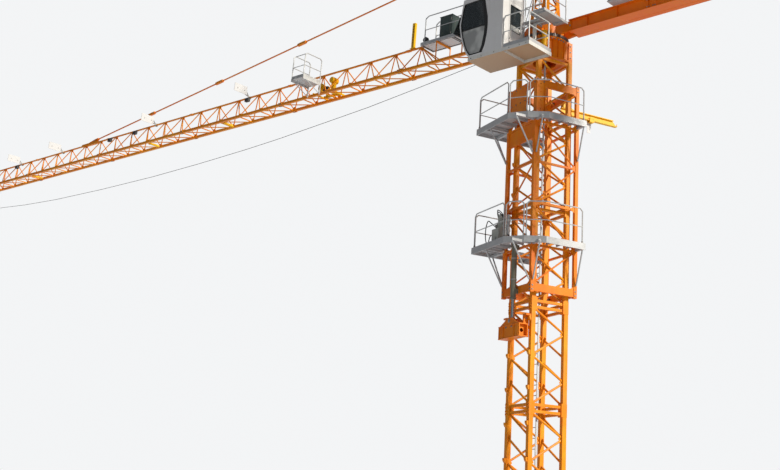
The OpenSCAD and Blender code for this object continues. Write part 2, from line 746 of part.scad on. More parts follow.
// Tower head: four legs leaning together, braced on every side
head_levels_share = [0, 0.24, 0.5, 0.73, 0.94];
head_leg = 52;
head_brace = 26;
function head_at(t, c) = [
    c.x * (head_l + (head_top_w - head_l) * t) / 2,
    c.y * (head_w + (head_top_w - head_w) * t) / 2,
    table_top_z + (head_top_z - 90 - table_top_z) * t];
module tower_head() {
    color("darkorange") difference() {
        head_tower();
        block([-head_l, -head_w, table_top_z - 2 * head_leg], [head_l, head_w, table_top_z + face_gap]);
    }
}
module head_tower() {
    union() {
        for (c = corners) {
            beam(head_at(0, c) - [0, 0, head_leg], head_at(1, c), head_leg, head_leg);
            p = head_at(0, c);
            translate([p.x - 42, p.y - 42, table_top_z + face_gap]) cube([84, 84, 16]);
        }
        for (i = [1 : len(head_levels_share) - 1], k = [0 : 3])
            bar(head_at(head_levels_share[i], corners[k]), head_at(head_levels_share[i], corners[(k + 1) % 4]), head_brace);
        for (i = [0 : len(head_levels_share) - 2], k = [0 : 3]) if (i != 2 || k != 1)
            bar(head_at(head_levels_share[i], corners[(k + i) % 4]),
                head_at(head_levels_share[i + 1], corners[(k + 1 + i) % 4]), head_brace);
        p = head_at(1, [1, 1]);
        difference() {
            block([-p.x - 40, -p.y - 20, p.z - 40], [p.x + 40, p.y + 20, head_top_z]);
            block([-p.x - 40 - cut, -30, p.z], [p.x + 40 + cut, 30, head_top_z + cut]);
        }
    }
}

// Rope sheave, with the groove round its rim
sheave_r = 130;
sheave_t = 30;
module sheave(r, t) {
    rotate_extrude($fn = round_sides) polygon([[0, -t / 2], [r, -t / 2], [r, -t / 3],
        [r - rope_d, -rope_d / 2], [r - rope_d, rope_d / 2], [r, t / 3], [r, t / 2], [0, t / 2]]);
}
head_sheave_z = head_at(0.68, [1, 1]).z;
head_sheave_r = 90;
root_sheave_r = 75;
root_sheave_x = jib_foot_x + 125;
root_sheave_z = jib_z - 6;
module rope_sheaves() {
    color("dimgray") {
        translate([0, 0, head_sheave_z]) rotate([90, 0, 0]) {
            sheave(head_sheave_r, sheave_t);
            cylinder(h = 200, r = 14, center = true, $fn = round_sides);
        }
        translate([root_sheave_x, 0, root_sheave_z]) rotate([90, 0, 0]) {
            sheave(root_sheave_r, sheave_t);
            cylinder(h = 2 * sheave_t - lug_plate_t - 2 * face_gap, r = 14, center = true, $fn = round_sides);
        }
    }
}

// Platform on the cab side of the tower head, with a wing towards the counter-jib
head_deck_z = table_top_z - 46;
head_deck_x0 = -575;
head_deck_x1 = 30;
head_deck_y0 = 180;
head_deck_y1 = 560;
wing_w = 287;
wing_y = 815;
module head_platform() {
    z = head_deck_z;
    y0 = head_deck_y0;
    y1 = head_deck_y1;
    in_x = -table_r - 22;
    in_y = table_r + face_gap;
    low = z - 26;
    wing_x = head_deck_x0 + wing_w;
    xr = head_deck_x0 + 26;
    xe = head_deck_x1 - 22;
    xw = wing_x - 26;
    yr = y1 - 26;
    yw = wing_y - 26;
    foot = z + deck_t / 2;
    top = z + rail_h;
    mid = z + rail_h / 2;
    color("gainsboro") {
        translate([0, 0, z]) linear_extrude(deck_t) polygon([[head_deck_x0 + cut, y0], [in_x, y0], [in_x, in_y],
            [head_deck_x1, in_y], [head_deck_x1, y1 - cut], [wing_x - cut, y1 - cut], [wing_x - cut, wing_y - cut],
            [head_deck_x0 + cut, wing_y - cut]]);
        block([head_deck_x0, y0 - cut, low], [head_deck_x0 + edge_t, wing_y, z + edge_t]);
        block([head_deck_x0 + cut, wing_y - edge_t, low + cut], [wing_x, wing_y + cut, z + edge_t + cut]);
        block([wing_x - edge_t, y1 - edge_t + cut, low], [wing_x + cut, wing_y - cut, z + edge_t]);
        block([wing_x - edge_t + cut, y1 - edge_t, low + cut], [head_deck_x1 + cut, y1, z + edge_t + cut]);
        run([[xr, y0 + 20, foot], [xr, y0 + 20, top - rail_bend], [xr, y0 + 20 + rail_bend, top], [xr, yw - rail_bend, top],
            [xr + rail_bend, yw, top], [xw - rail_bend, yw, top], [xw, yw - rail_bend, top], [xw, yr + rail_bend, top],
            [xw + rail_bend, yr, top], [xe - rail_bend, yr, top], [xe, yr, top - rail_bend], [xe, yr, foot]], rail_d);
        bar([xr, y0 + 20, mid], [xr, yw, mid], rail_d * 0.8);
        bar([xr - 3, yw + 1, mid - 1], [xw, yw + 1, mid - 1], rail_d * 0.8);
        bar([xw - 1, yw + 2, mid + 1], [xw - 1, yr, mid + 1], rail_d * 0.8);
        bar([xw - 3, yr + 1, mid], [xe, yr + 1, mid], rail_d * 0.8);
        for (q = [[xr, yw - rail_bend], [xw, yw - rail_bend], [xw + rail_bend, yr]])
            bar([q.x, q.y, foot], [q.x, q.y, top], rail_d);
        block([hang_x[0] - sill_w / 2, in_y + cut, hang_z + face_gap],
            [hang_x[0] + sill_w / 2, cab_y - face_gap, z + cut]);
        block([-2 * sill_w, in_y + cut, low + cut], [-sill_w, y1 - edge_t / 2, z + cut]);
        for (y = [y0 + 60, wing_y - 110]) block([head_deck_x0 + edge_t / 2, y, low + cut],
            [y < in_y ? in_x - cut : wing_x - edge_t / 2, y + sill_w, z + cut]);
    }
}

// Jib, in its own frame: x out from the foot pins, z up from the lower chords
module in_jib() {
    translate([jib_foot_x, 0, jib_z]) rotate([0, -jib_rise, 0]) children();
}
function node_x(k) = jib_root_l + k * jib_bay;
bays_per_section = 5;
tip_bays = 3;

// Bays between two nodes of the top chord: chords, side braces, floor braces
module jib_bays(k0, k1) {
    y = jib_w / 2;
    x0 = node_x(k0) - jib_bay / 2;
    x1 = node_x(k1) + jib_bay / 2;
    intersection() {
        jib_bars(k0, k1, x0, x1, y);
        block([x0 + face_gap / 2, -jib_w, -jib_h], [x1 - face_gap / 2, jib_w, 2 * jib_h]);
    }
}
module jib_bars(k0, k1, x0, x1, y) {
    for (s = [-1, 1]) block([x0, s * y - chord_w / 2, -chord_w / 2], [x1, s * y + chord_w / 2, chord_w / 2]);
    bar([x0, 0, jib_h], [x1, 0, jib_h], top_chord_d);
    for (k = [k0 : k1], s = [-1, 1], e = [-1, 1])
        bar([node_x(k), 0, jib_h], [node_x(k) + e * jib_bay / 2, s * y, 0], jib_brace);
    for (k = [k0 : k1]) {
        bar([node_x(k) - jib_bay / 2 + chord_w / 2, -y, 0], [node_x(k) - jib_bay / 2 + chord_w / 2, y, 0], jib_brace + 4);
        bar([node_x(k) - jib_bay / 2 + chord_w, -y, 0], [node_x(k) + jib_bay / 2, y, 0], jib_brace);
    }
    for (x = [x0, x1 - chord_w]) for (s = [-1, 1])
        block([x, s * y - chord_w / 2 - 8, -chord_w / 2 - 8], [x + chord_w, s * y + chord_w / 2 + 8, chord_w / 2 + 8]);
}
root_post_x = [520, 1150, 1750];
root_floor_x = 260;
root_floor_pitch = 575;
module jib_section_1() {
    y = jib_w / 2;
    x1 = node_x(0) + jib_bay / 2;
    color("darkorange") in_jib() difference() {
        union() {
            for (s = [-1, 1]) block([-foot_pin_r * 2, s * y - chord_w / 2, -chord_w / 2], [x1, s * y + chord_w / 2, chord_w / 2]);
            bar([node_x(0) - 60, 0, jib_h], [x1, 0, jib_h], top_chord_d);
            for (s = [-1, 1], e = [-1, 1]) bar([node_x(0), 0, jib_h], [node_x(0) + e * jib_bay / 2, s * y, 0], jib_brace);
            for (s = [-1, 1]) bar([node_x(0), 0, jib_h], [root_post_x[2] - 60, s * y, 0], jib_brace);
            for (x = root_post_x, s = [-1, 1]) bar([x, s * y, 0], [x, s * y, walk_z], jib_brace);
            for (x = root_post_x) beam([x, -y, walk_z - 15], [x, y, walk_z - 15], 30, 30);
            for (i = [0 : 3]) {
                a = root_floor_x + i * root_floor_pitch;
                bar([a, -y, 0], [a, y, 0], jib_brace + 4);
                bar([a, -y, 0], [a + root_floor_pitch - jib_brace, y, 0], jib_brace);
            }
            for (s = [-1, 1]) block([x1 - chord_w, s * y - chord_w / 2 - 8, -chord_w / 2 - 8],
                [x1, s * y + chord_w / 2 + 8, chord_w / 2 + 8]);
        }
        block([x1 - face_gap / 2, -jib_w, -jib_h], [x1 + jib_bay, jib_w, 2 * jib_h]);
        for (s = [-1, 1]) translate([0, s * y, 0]) rotate([90, 0, 0])
            cylinder(h = chord_w + 2 * cut, r = foot_pin_r, center = true, $fn = round_sides);
    }
}
module jib_run(i) { color("darkorange") in_jib() jib_bays(1 + i * bays_per_section, (i + 1) * bays_per_section); }
module jib_section_2() { jib_run(0); }
module jib_section_3() { jib_run(1); }
module jib_section_4() { jib_run(2); }
module jib_section_5() {
    jib_run(3);
    color("darkorange") in_jib() block([tie_end_x - saddle_l * 0.22, -saddle_w / 2, jib_h - saddle_w * 0.43],
        [tie_end_x + saddle_l * 0.78, saddle_w / 2, jib_h + saddle_w * 0.57]);
    color("darkorange") in_jib() difference() {
        translate([tie_end_x, lug_plate_t / 2, jib_h]) rotate([90, 0, 0]) linear_extrude(lug_plate_t)
            polygon([[-100, 0], [-32, tie_pin_h + 30], [32, tie_pin_h + 30], [520, 0]]);
        translate([tie_end_x, 0, jib_h + tie_pin_h]) rotate([90, 0, 0]) cylinder(h = lug_plate_t * 2, r = tie_pin_r, center = true, $fn = round_sides);
    }
}
module jib_section_6() { jib_run(4); }
module jib_tip() {
    k0 = 1 + 5 * bays_per_section;
    x1 = node_x(k0 + tip_bays - 1) + jib_bay / 2;
    color("darkorange") in_jib() {
        jib_bays(k0, k0 + tip_bays - 1);
        beam([x1 - chord_w / 2, -jib_w / 2, 0], [x1 - chord_w / 2, jib_w / 2, 0], chord_w, chord_w);
        for (s = [-1, 1]) bar([x1 - chord_w / 2, s * jib_w / 2, 0], [x1 - 20, 0, jib_h], jib_brace + 6);
        difference() {
            block([x1 - 50, -30, -70], [x1 - 8, 30, 0]);
            block([x1 - 50 - cut, -rope_d, -80], [x1 - 40, rope_d, -26]);
        }
    }
}

// Post on the top chord near the foot
module jib_post() {
    x = node_x(0) + 215;
    color("gold") in_jib() {
        translate([x, 0, jib_h + top_chord_d / 2 + 5]) translate([-32, -24, 0]) cube([64, 48, 500]);
        block([x - 60, -30, jib_h + top_chord_d / 2 + face_gap], [x + 60, 30, jib_h + top_chord_d / 2 + 12]);
    }
}

// Tie of the jib: pinned bars from the head to the top chord
tie_pin_r = 14;
tie_end_x = 12870;
tie_share = [0.24, 0.449, 0.646, 0.829];
saddle_l = 670;
saddle_w = 60;
tie_top = [head_top_w / 2 + 60, head_top_z - 50];
tie_pin_h = 64;
function tie_end() = [jib_foot_x + tie_end_x * cos(jib_rise) - (jib_h + tie_pin_h) * sin(jib_rise),
    jib_z + tie_end_x * sin(jib_rise) + (jib_h + tie_pin_h) * cos(jib_rise)];
module jib_tie() {
    a = [tie_top.x, 0, tie_top.y];
    e = tie_end();
    b = [e.x, 0, e.y];
    clevis = 100;
    v = (b - a) / norm(b - a);
    color("orangered") {
        bar(a, b - v * clevis, tie_d);
        for (t = tie_share) {
            c = a + (b - a) * t;
            beam(c - v * 120, c + v * 120, 52, 44);
        }
        difference() {
            for (s = [-1, 1]) beam(b - v * (clevis + 50) + [0, s * (lug_plate_t / 2 + 8 + face_gap), 0],
                b + v * 26 + [0, s * (lug_plate_t / 2 + 8 + face_gap), 0], 46, 16);
            translate(b) rotate([90, 0, 0]) cylinder(h = 80, r = tie_pin_r - 2 * run_gap, center = true, $fn = round_sides);
        }
        beam(b - v * (clevis + 50), b - v * clevis, 46, lug_plate_t + 32 + 2 * face_gap);
        translate(b) rotate([90, 0, 0]) cylinder(h = lug_plate_t + 40, r = tie_pin_r - run_gap, center = true, $fn = round_sides);
    }
}

// Walkway over the root of the jib
walk_z = 400;
walk_x0 = 300;
walk_x1 = 2150;
walk_w = 330;
module root_walkway() {
    color("darkgray") in_jib() {
        block([walk_x0, -walk_w / 2, walk_z + face_gap + 24], [walk_x1, walk_w / 2, walk_z + face_gap + 36]);
        for (s = [-1, 1]) block([walk_x0, s * walk_w / 2 - 8, walk_z + face_gap], [walk_x1, s * walk_w / 2 + 8, walk_z + 60]);
        for (i = [0 : 5]) {
            x = walk_x0 + (walk_x1 - walk_x0 - 16) * i / 5;
            block([x, -walk_w / 2, walk_z + face_gap], [x + 16, walk_w / 2, walk_z + 30]);
        }
        for (s = [-1, 1]) {
            y = s * (walk_w / 2 - 20);
            run([[1000, y, walk_z + 30], [1000, y, walk_z + 520], [1060, y, walk_z + 560], [2020, y, walk_z + 560],
                [2080, y, walk_z + 520], [2080, y, walk_z + 30]], rail_d);
            bar([1000, y, walk_z + 300], [2080, y, walk_z + 300], rail_d * 0.8);
        }
    }
}
module jib_cabinet() {
    color("darkslategray") in_jib() block([1470, -95, walk_z + 37], [1750, 125, walk_z + 37 + 430]);
}

// Trolley winch inside the jib: drum, motor and the cradle on the lower chords
winch_k = 4;
winch_shift = 55;
winch_z = 190;
winch_drum_l = 152;
winch_drum_r = 56;
winch_flange_r = 80;
winch_flange_t = 12;
winch_frame_y = 98;
winch_frame_h = 56;
winch_post_w = 70;
winch_rib = 28;
winch_ribs = [-380, -150, 80];
winch_motor_x = -268;
winch_motor_z = 300;
winch_motor_r = 55;
module trolley_winch() {
    base = chord_w / 2 + face_gap;
    top = base + winch_frame_h;
    side = edge_t / 2;
    color("gold") in_jib() translate([node_x(winch_k) - winch_shift, 0, 0]) {
        translate([0, 0, winch_z]) rotate([90, 0, 0]) {
            cylinder(h = winch_drum_l, r = winch_drum_r, center = true, $fn = round_sides);
            for (s = [-1, 1]) translate([0, 0, s * winch_drum_l / 2])
                cylinder(h = winch_flange_t, r = winch_flange_r, center = true, $fn = round_sides);
            cylinder(h = 2 * winch_frame_y, r = winch_drum_r / 4, center = true, $fn = round_sides);
        }
        for (s = [-1, 1]) {
            y = s * winch_frame_y;
            block([winch_ribs[0] - winch_rib, y - side, base], [winch_ribs[2] + winch_rib / 2, y + side, top]);
            block([-winch_post_w / 2, y - side + face_gap, top - cut],
                [winch_post_w / 2, y + side - face_gap, winch_z + winch_rib]);
        }
        for (x = winch_ribs) block([x - winch_rib / 2, -jib_w / 2 - winch_rib / 3, base],
            [x + winch_rib / 2, jib_w / 2 + winch_rib / 3, base + winch_rib]);
        translate([winch_motor_x, 0, 0]) {
            block([-winch_post_w * 0.75, -winch_frame_y, top - winch_rib],
                [winch_post_w * 0.75, winch_frame_y, top - cut]);
            block([-winch_post_w / 2, -winch_post_w / 2, top - winch_rib / 2],
                [winch_post_w / 2, winch_post_w / 2, winch_motor_z]);
            translate([0, 0, winch_motor_z]) rotate([90, 0, 0])
                cylinder(h = winch_drum_l, r = winch_motor_r, center = true, $fn = round_sides);
        }
    }
}

// Service basket beside the winch
basket_shift = 185;
basket_l = 350;
module winch_basket() {
    x0 = node_x(winch_k) - basket_shift;
    x1 = x0 + basket_l;
    y0 = jib_w / 2 + chord_w / 2 + face_gap;
    y1 = y0 + 450;
    z = winch_z;
    color("whitesmoke") in_jib() {
        block([x0, y0, z], [x1, y1, z + 16]);
        for (x = [x0, x1 - 20]) {
            block([x, y0, z - 34], [x + 20, y1, z + 16]);
            bar([x + 9, y1 - 23, z], [x + 9, y0 + 12, -9], rail_d * 0.7);
            block([x, y0, -20], [x + 20, y0 + 20, z]);
        }
        for (x = [x0 + 13, x1 - 13]) {
            run([[x, y0 + 20, z], [x, y0 + 20, z + 460], [x, y0 + 60, z + 500], [x, y1 - 50, z + 500], [x, y1 - 10, z + 460], [x, y1 - 10, z]], rail_d);
            bar([x, y0 + 20, z + 250], [x, y1 - 10, z + 250], rail_d * 0.8);
        }
        bar([x0 + 13, y1 - 53, z + 499], [x1 - 13, y1 - 53, z + 499], rail_d * 0.8);
        bar([x0 + 13, y1 - 11, z + 249], [x1 - 13, y1 - 11, z + 249], rail_d * 0.7);
    }
}

// Trolley under the lower chords
trolley_x = 20000;
trolley_l = 560;
trolley_sheave_r = 75;
trolley_sheave_x = 2 * groove(trolley_sheave_r);
trolley_sheave_z = -120;
wheel_r = 42;
module trolley() {
    y = jib_w / 2 + chord_w / 2 + 30;
    color("orangered") in_jib() {
        for (e = [-1, 1]) {
            x = trolley_x + e * (trolley_l / 2 - 25);
            for (s = [-1, 1]) {
                translate([x, s * (jib_w / 2 + chord_w / 2 + 4), chord_w / 2 + wheel_r + face_gap]) rotate([90, 0, 0])
                    cylinder(h = 40, r = wheel_r, center = true, $fn = round_sides);
                block([x - 25, s * y - 6, -165], [x + 25, s * y + 6, chord_w / 2 + wheel_r + 30]);
            }
            block([x - 25, -y, -165], [x + 25, y, -130]);
        }
        for (s = [-1, 1]) block([trolley_x - trolley_l / 2, s * 60 - 8, -150], [trolley_x + trolley_l / 2, s * 60 + 8, -90]);
        for (e = [-1, 1]) translate([trolley_x + e * trolley_sheave_x, 0, trolley_sheave_z]) rotate([90, 0, 0]) {
            sheave(trolley_sheave_r, sheave_t);
            cylinder(h = 136, r = 12, center = true, $fn = round_sides);
        }
    }
}

// Hook block and hook
hook_x = jib_at(trolley_x, trolley_sheave_z).x;
hook_z = 6900;
module hook_block() {
    color("gold") translate([hook_x, 0, hook_z]) {
        for (s = [-1, 1]) block([-110, s * 26 - 6, -90], [110, s * 26 + 6, 90]);
        block([-50, -32, -125], [50, 32, -78]);
        rotate([90, 0, 0]) sheave(75, sheave_t);
        rotate([90, 0, 0]) cylinder(h = 70, r = 14, center = true, $fn = round_sides);
        translate([0, 0, -190]) cylinder(h = 80, r = 18, $fn = round_sides);
        translate([0, 0, -262]) rotate([90, 0, 0]) rotate([0, 0, -200]) rotate_extrude(angle = 290, $fn = round_sides)
            translate([62, 0]) circle(r = 20, $fn = round_sides);
    }
}

// Hoist rope: drum, head sheave, root sheave, along below the jib to the trolley, hook block, jib tip
rope_sag = [[1610, 8237], [2750, 8125], [3993, 8015], [4775, 7967], [6489, 7866], [7468, 7827],
    [9000, 7790], [10717, 7775], [12700, 7800], [14705, 7856], [16200, 7940], [17502, 8047],
    [18300, 8150], [19000, 8270], [19600, 8410], [20000, 8538]];
arc_steps = 12;
function arc(c, r, a0, a1) = [for (i = [0 : arc_steps])
    let (a = a0 + (a1 - a0) * i / arc_steps, k = r / cos((a1 - a0) / arc_steps / 2))
    [c.x + k * cos(a), c.y + k * sin(a)]];
function jib_at(x, z) = [jib_foot_x + x * cos(jib_rise) - z * sin(jib_rise), jib_z + x * sin(jib_rise) + z * cos(jib_rise)];
drum = [-3300, girder_z + girder_h + 17 + 190];
rope_r = 1.5 * rope_d;
function groove(r) = r - rope_d + rope_gap;
// Angle on the first sheave at which the rope leaves it to cross over to the other one
function cross_angle(p, q, r) = let (v = q - p) atan2(v.y, v.x) - asin(r / norm(v)) + 90;
module hoist_rope() {
    in_sheave = jib_at(trolley_x - trolley_sheave_x, trolley_sheave_z);
    out_sheave = jib_at(trolley_x + trolley_sheave_x, trolley_sheave_z);
    g = groove(trolley_sheave_r);
    head = [0, head_sheave_z];
    root = [root_sheave_x, root_sheave_z];
    down = cross_angle(head, root, groove(head_sheave_r) + groove(root_sheave_r));
    path = concat([[drum.x + 20, drum.y + 95 + rope_gap]],
        arc(head, groove(head_sheave_r), 110, down), arc(root, groove(root_sheave_r), 180 + down, 265), rope_sag,
        arc(in_sheave, g, 110, 0), arc([hook_x, hook_z], g, 180, 360),
        arc(out_sheave, g, 180, 90), [jib_at(node_x(28) + jib_bay / 2 - 50, g + trolley_sheave_z)]);
    color("dimgray") for (k = [1, 0.7])
        rotate([90, 0, 0]) linear_extrude(rope_d * (1.7 - k), center = true) polygon(strip(path, rope_d * k));
}
// Sideways direction at a point of a path, made longer where the path bends
function sideways(path, i) =
    let (a = unit(path[max(i, 1)] - path[max(i, 1) - 1]), b = i < len(path) - 1 ? unit(path[i + 1] - path[i]) : a,
        m = unit(a + b)) [-m.y, m.x] / (m * a);
// Outline of a strip that follows a path
function strip(path, w) = concat([for (i = [0 : len(path) - 1]) path[i] + sideways(path, i) * w / 2],
    [for (i = [len(path) - 1 : -1 : 0]) path[i] - sideways(path, i) * w / 2]);

// Counter-jib: two girders with cross-members
module i_girder(l) {
    linear_extrude(l) union() {
        translate([0, -web_t / 2]) square([girder_h, web_t]);
        for (x = [0, girder_h - flange_t]) translate([x, -flange_w / 2]) square([flange_t, flange_w]);
    }
}
floor_x = -4780;
floor_start = 30;
floor_seat = 4;
module counter_jib() {
    y = counter_w / 2 - flange_w / 2;
    color("darkorange") {
        for (s = [-1, 1]) translate([-counter_x, s * y, girder_z + girder_h]) rotate([0, 90, 180]) rotate([0, 180, 0])
            translate([-girder_h, 0, -counter_l]) i_girder(counter_l);
        block([floor_x, -y + flange_w / 2 - floor_seat, girder_z + cut],
            [-counter_x - floor_start, y - flange_w / 2 + floor_seat, girder_z + flange_t - cut]);
        for (i = [0 : 7]) {
            x = i == 7 ? -counter_x - counter_l + 32 : -counter_x - 160 - i * (counter_l - 960) / 6;
            block([x - 30, -y, girder_z + flange_t + 40], [x + 30, y, girder_z + girder_h - flange_t - 20]);
        }
    }
}
deck_start = 1400;
module counter_deck() {
    z = girder_z + girder_h + face_gap;
    x0 = -counter_x - counter_l + 20;
    color("gainsboro") {
        difference() {
            block([x0, -330, z], [-deck_start, 330, z + 16]);
            block([ballast_x - 10, -250, z - cut], [ballast_x + 680, 250, z + 16 + cut]);
        }
        for (s = [-1, 1]) {
            for (i = [0 : 5]) bar([-deck_start - 20 - i * 760, s * 315, z], [-deck_start - 20 - i * 760, s * 315, z + rail_h], rail_d);
            for (h = [rail_h / 2, rail_h]) bar([x0 + 20, s * 315, z + h], [-deck_start - 20, s * 315, z + h], rail_d);
            bar([x0 + 20, s * 315, z], [x0 + 20, s * 315, z + rail_h], rail_d);
        }
        bar([x0 + 20, -315, z + rail_h], [x0 + 20, 315, z + rail_h], rail_d);
    }
}

counter_tie_x = -4300;
module counter_ties() {
    color("orangered") for (s = [-1, 1]) {
        a = [-head_top_w / 2 - 60, s * 40, head_top_z - 50];
        b = [counter_tie_x, s * (counter_w / 2 - flange_w / 2), girder_z + girder_h + 60];
        bar(a, b, tie_d);
        block([b.x - 60, b.y - 10, girder_z + girder_h + 17], [b.x + 60, b.y + 10, b.z + 30]);
    }
}

ballast_x = -5430;
ballast_count = 4;
ballast_pitch = 152;
module counterweights() {
    seat = girder_z + girder_h + face_gap;
    color("silver") for (i = [0 : ballast_count - 1])
        translate([ballast_x + i * ballast_pitch, 0, 0]) rotate([90, 0, 90]) linear_extrude(ballast_pitch - 6) polygon([
            [-240, girder_z - 560], [240, girder_z - 560], [240, girder_z - 12], [55, girder_z - 12], [55, seat], [140, seat],
            [140, seat + 70], [-140, seat + 70], [-140, seat], [-55, seat], [-55, girder_z - 12], [-240, girder_z - 12]]);
}

module hoist_winch() {
    x = -3300;
    z = girder_z + girder_h + 17;
    color("steelblue") {
        block([x - 300, -200, z], [x + 300, 200, z + 40]);
        translate([x, 0, z + 190]) rotate([90, 0, 0]) {
            cylinder(h = 260, r = 95, center = true, $fn = round_sides);
            for (s = [-1, 1]) translate([0, 0, s * 130]) cylinder(h = 16, r = 140, center = true, $fn = round_sides);
        }
        translate([x, 0, z + 190]) rotate([90, 0, 0]) cylinder(h = 370, r = 30, center = true, $fn = round_sides);
        for (s = [-1, 1]) block([x - 90, s * 165 - 20, z], [x + 90, s * 165 + 20, z + 225]);
        translate([x - 225, 0, z + 110]) rotate([90, 0, 0]) cylinder(h = 300, r = 72, center = true, $fn = round_sides);
    }
}

// Cab: the frame below it and the platform behind it
cab_x = 45;
cab_floor_z = cab_z + cab_frame_h;
cab_y1 = cab_y + 585;
hang_x = [-160, 300];
module cab_frame() {
    color("lightgray") {
        difference() {
            block([cab_x - porch_l, cab_y, cab_z], [cab_x + cab_l + 20, cab_y1, cab_floor_z]);
            block([cab_x - porch_l + 24, cab_y + 24, cab_z - cut], [cab_x - 24, cab_y1 - 24, cab_floor_z - 12]);
        }
        for (x = hang_x) {
            block([x - 25, cab_y, cab_floor_z - cut], [x + 25, cab_y + 36, table_z + 90]);
        }
    }
}
// Bulge of the front over the floor's edge, and the height that it has there, as shares
front_share = [[0, 0], [0.068, 0.04], [0.15, 0.135], [0.212, 0.233], [0.27, 0.35], [0.31, 0.476],
    [0.341, 0.573], [0.335, 0.64], [0.318, 0.69], [0.28, 0.85], [0.24, 1]];
module cab_profile(inset = 0) {
    h = cab_h - 2 * inset;
    l = cab_l - 2 * inset;
    translate([inset, inset]) polygon(concat([[0, 0]],
        [for (p = front_share) [l + p.x * cab_l, p.y * h]], [[0, h]]));
}
cab_in_y = cab_y1 - cab_w;
module cab_solid(inset = 0) {
    translate([cab_x, cab_y1 - inset, cab_floor_z]) rotate([90, 0, 0]) linear_extrude(cab_w - 2 * inset) cab_profile(inset);
}
door_y0 = cab_in_y + 60;
door_z0 = cab_floor_z + cab_wall;
door_gap = 6;
pane_edge = face_gap;
// Edge of a side window, rear curve first, as shares of the cab's length and height
side_share = [[0.606, 0.035], [0.53, 0.15], [0.478, 0.32], [0.462, 0.45], [0.47, 0.6], [0.515, 0.74], [0.555, 0.87],
    [0.58, 0.925], [1.19, 0.925], [1.225, 0.85], [1.262, 0.7], [1.285, 0.58], [1.258, 0.47], [1.215, 0.35],
    [1.157, 0.235], [1.1, 0.145], [1.015, 0.06], [0.985, 0.035]];
module side_window(inset = 0) {
    mid = [0.86, 0.48];
    translate([cab_x, cab_floor_z]) polygon([for (p = side_share)
        let (d = [(p.x - mid.x) * cab_l, (p.y - mid.y) * cab_h], k = 1 - inset / norm(d))
        [mid.x * cab_l, mid.y * cab_h] + d * k]);
}
front_frame = 36;
// Lower and upper edge of each opening in the front, as shares of the cab's height
front_zones = [[0.06, 0.465], [0.487, 0.93]];
module front_zone(zone, inset = 0) {
    block([cab_x + cab_l * 0.7, cab_in_y + front_frame + inset, cab_floor_z + cab_h * zone[0] + inset],
        [cab_x + cab_l * 1.6, cab_y1 - front_frame - inset, cab_floor_z + cab_h * zone[1] - inset]);
}
// Door hinge on the outside of the rear wall
hinge_x = cab_x - 8;
hinge_y = door_y0 + 5;
hinge_r = 7.7;
hinge_pin_r = 4;
hinge_h = 44;
ear_h = 14;
ear_l = 29;
strap_l = 55;
strap_t = 6;
hinge_share = [0.12, 0.5, 0.88];
function hinge_z(k) = door_z0 + door_gap + (door_h - door_gap) * k;
module hinge_ears() {
    for (k = hinge_share) translate([hinge_x, hinge_y, hinge_z(k)]) {
        cylinder(h = hinge_h + 2 * ear_h, r = hinge_pin_r - run_gap, center = true, $fn = round_sides);
        for (s = [-1, 1]) translate([0, 0, s * (hinge_h + ear_h + 2 * face_gap) / 2 - ear_h / 2]) {
            cylinder(h = ear_h, r = hinge_r, $fn = round_sides);
            block([-hinge_r, -ear_l, 0], [hinge_r, 0, ear_h]);
            block([0, -ear_l, 0], [cab_x - hinge_x + cut, -ear_l / 2, ear_h]);
        }
    }
}
module cab_shell() {
    color("whitesmoke") hinge_ears();
    color("whitesmoke") difference() {
        cab_solid();
        cab_solid(cab_wall);
        block([cab_x - cut, door_y0 - door_gap, door_z0],
            [cab_x + cab_wall + cut, door_y0 + door_w + door_gap, door_z0 + door_h + door_gap]);
        translate([0, cab_y1 + cut, 0]) rotate([90, 0, 0]) linear_extrude(cab_w + 2 * cut) side_window();
        for (zone = front_zones) front_zone(zone);
    }
}
// Upper front pane, which stands open: hinged along its top edge and pushed out
sash_tilt = 27.7;
sash_x = cab_x + cab_l * 1.244;
sash_l = 483;
module open_pane() {
    z = cab_floor_z + cab_h * front_zones[1][1] - face_gap - pane_t * sin(sash_tilt);
    translate([sash_x, cab_in_y + front_frame + pane_t, z]) rotate([0, -sash_tilt, 0]) translate([0, 0, -sash_l])
        cube([pane_t, cab_w - 2 * (front_frame + pane_t), sash_l]);
}
module cab_glass() {
    color("darkslategray") {
        for (y = [cab_y1 - 4, cab_in_y + pane_t + 4]) translate([0, y, 0]) rotate([90, 0, 0])
            linear_extrude(pane_t) side_window(pane_edge);
        intersection() {
            front_zone(front_zones[0], pane_edge);
            difference() {
                cab_solid(4);
                translate([-pane_t, 0, 0]) cab_solid(3);
            }
        }
        open_pane();
    }
}
door_edge = 30;
door_pane_z = door_h * 0.42;
door_pane_h = door_h * 0.5;
module cab_door() {
    color("white") difference() {
        union() {
            translate([cab_x, door_y0, door_z0 + door_gap]) cube([cab_wall, door_w, door_h - door_gap]);
            for (k = hinge_share) translate([hinge_x, hinge_y, hinge_z(k)]) {
                cylinder(h = hinge_h, r = hinge_r, center = true, $fn = round_sides);
                translate([cab_x - hinge_x + cut - strap_t, 0, -hinge_h / 2]) cube([strap_t, strap_l, hinge_h]);
            }
        }
        translate([cab_x - cut, door_y0 + door_edge, door_z0 + door_gap + door_pane_z])
            cube([cab_wall + 2 * cut, door_w - 2 * door_edge, door_pane_h]);
        for (k = hinge_share) translate([hinge_x, hinge_y, hinge_z(k)])
            cylinder(h = hinge_h + 2 * cut, r = hinge_pin_r, center = true, $fn = round_sides);
    }
}
module door_window() {
    color("darkslategray") translate([cab_x + (cab_wall - pane_t) / 2, door_y0 + door_edge + face_gap,
        door_z0 + door_gap + door_pane_z + face_gap])
            cube([pane_t, door_w - 2 * (door_edge + face_gap), door_pane_h - 2 * face_gap]);
}
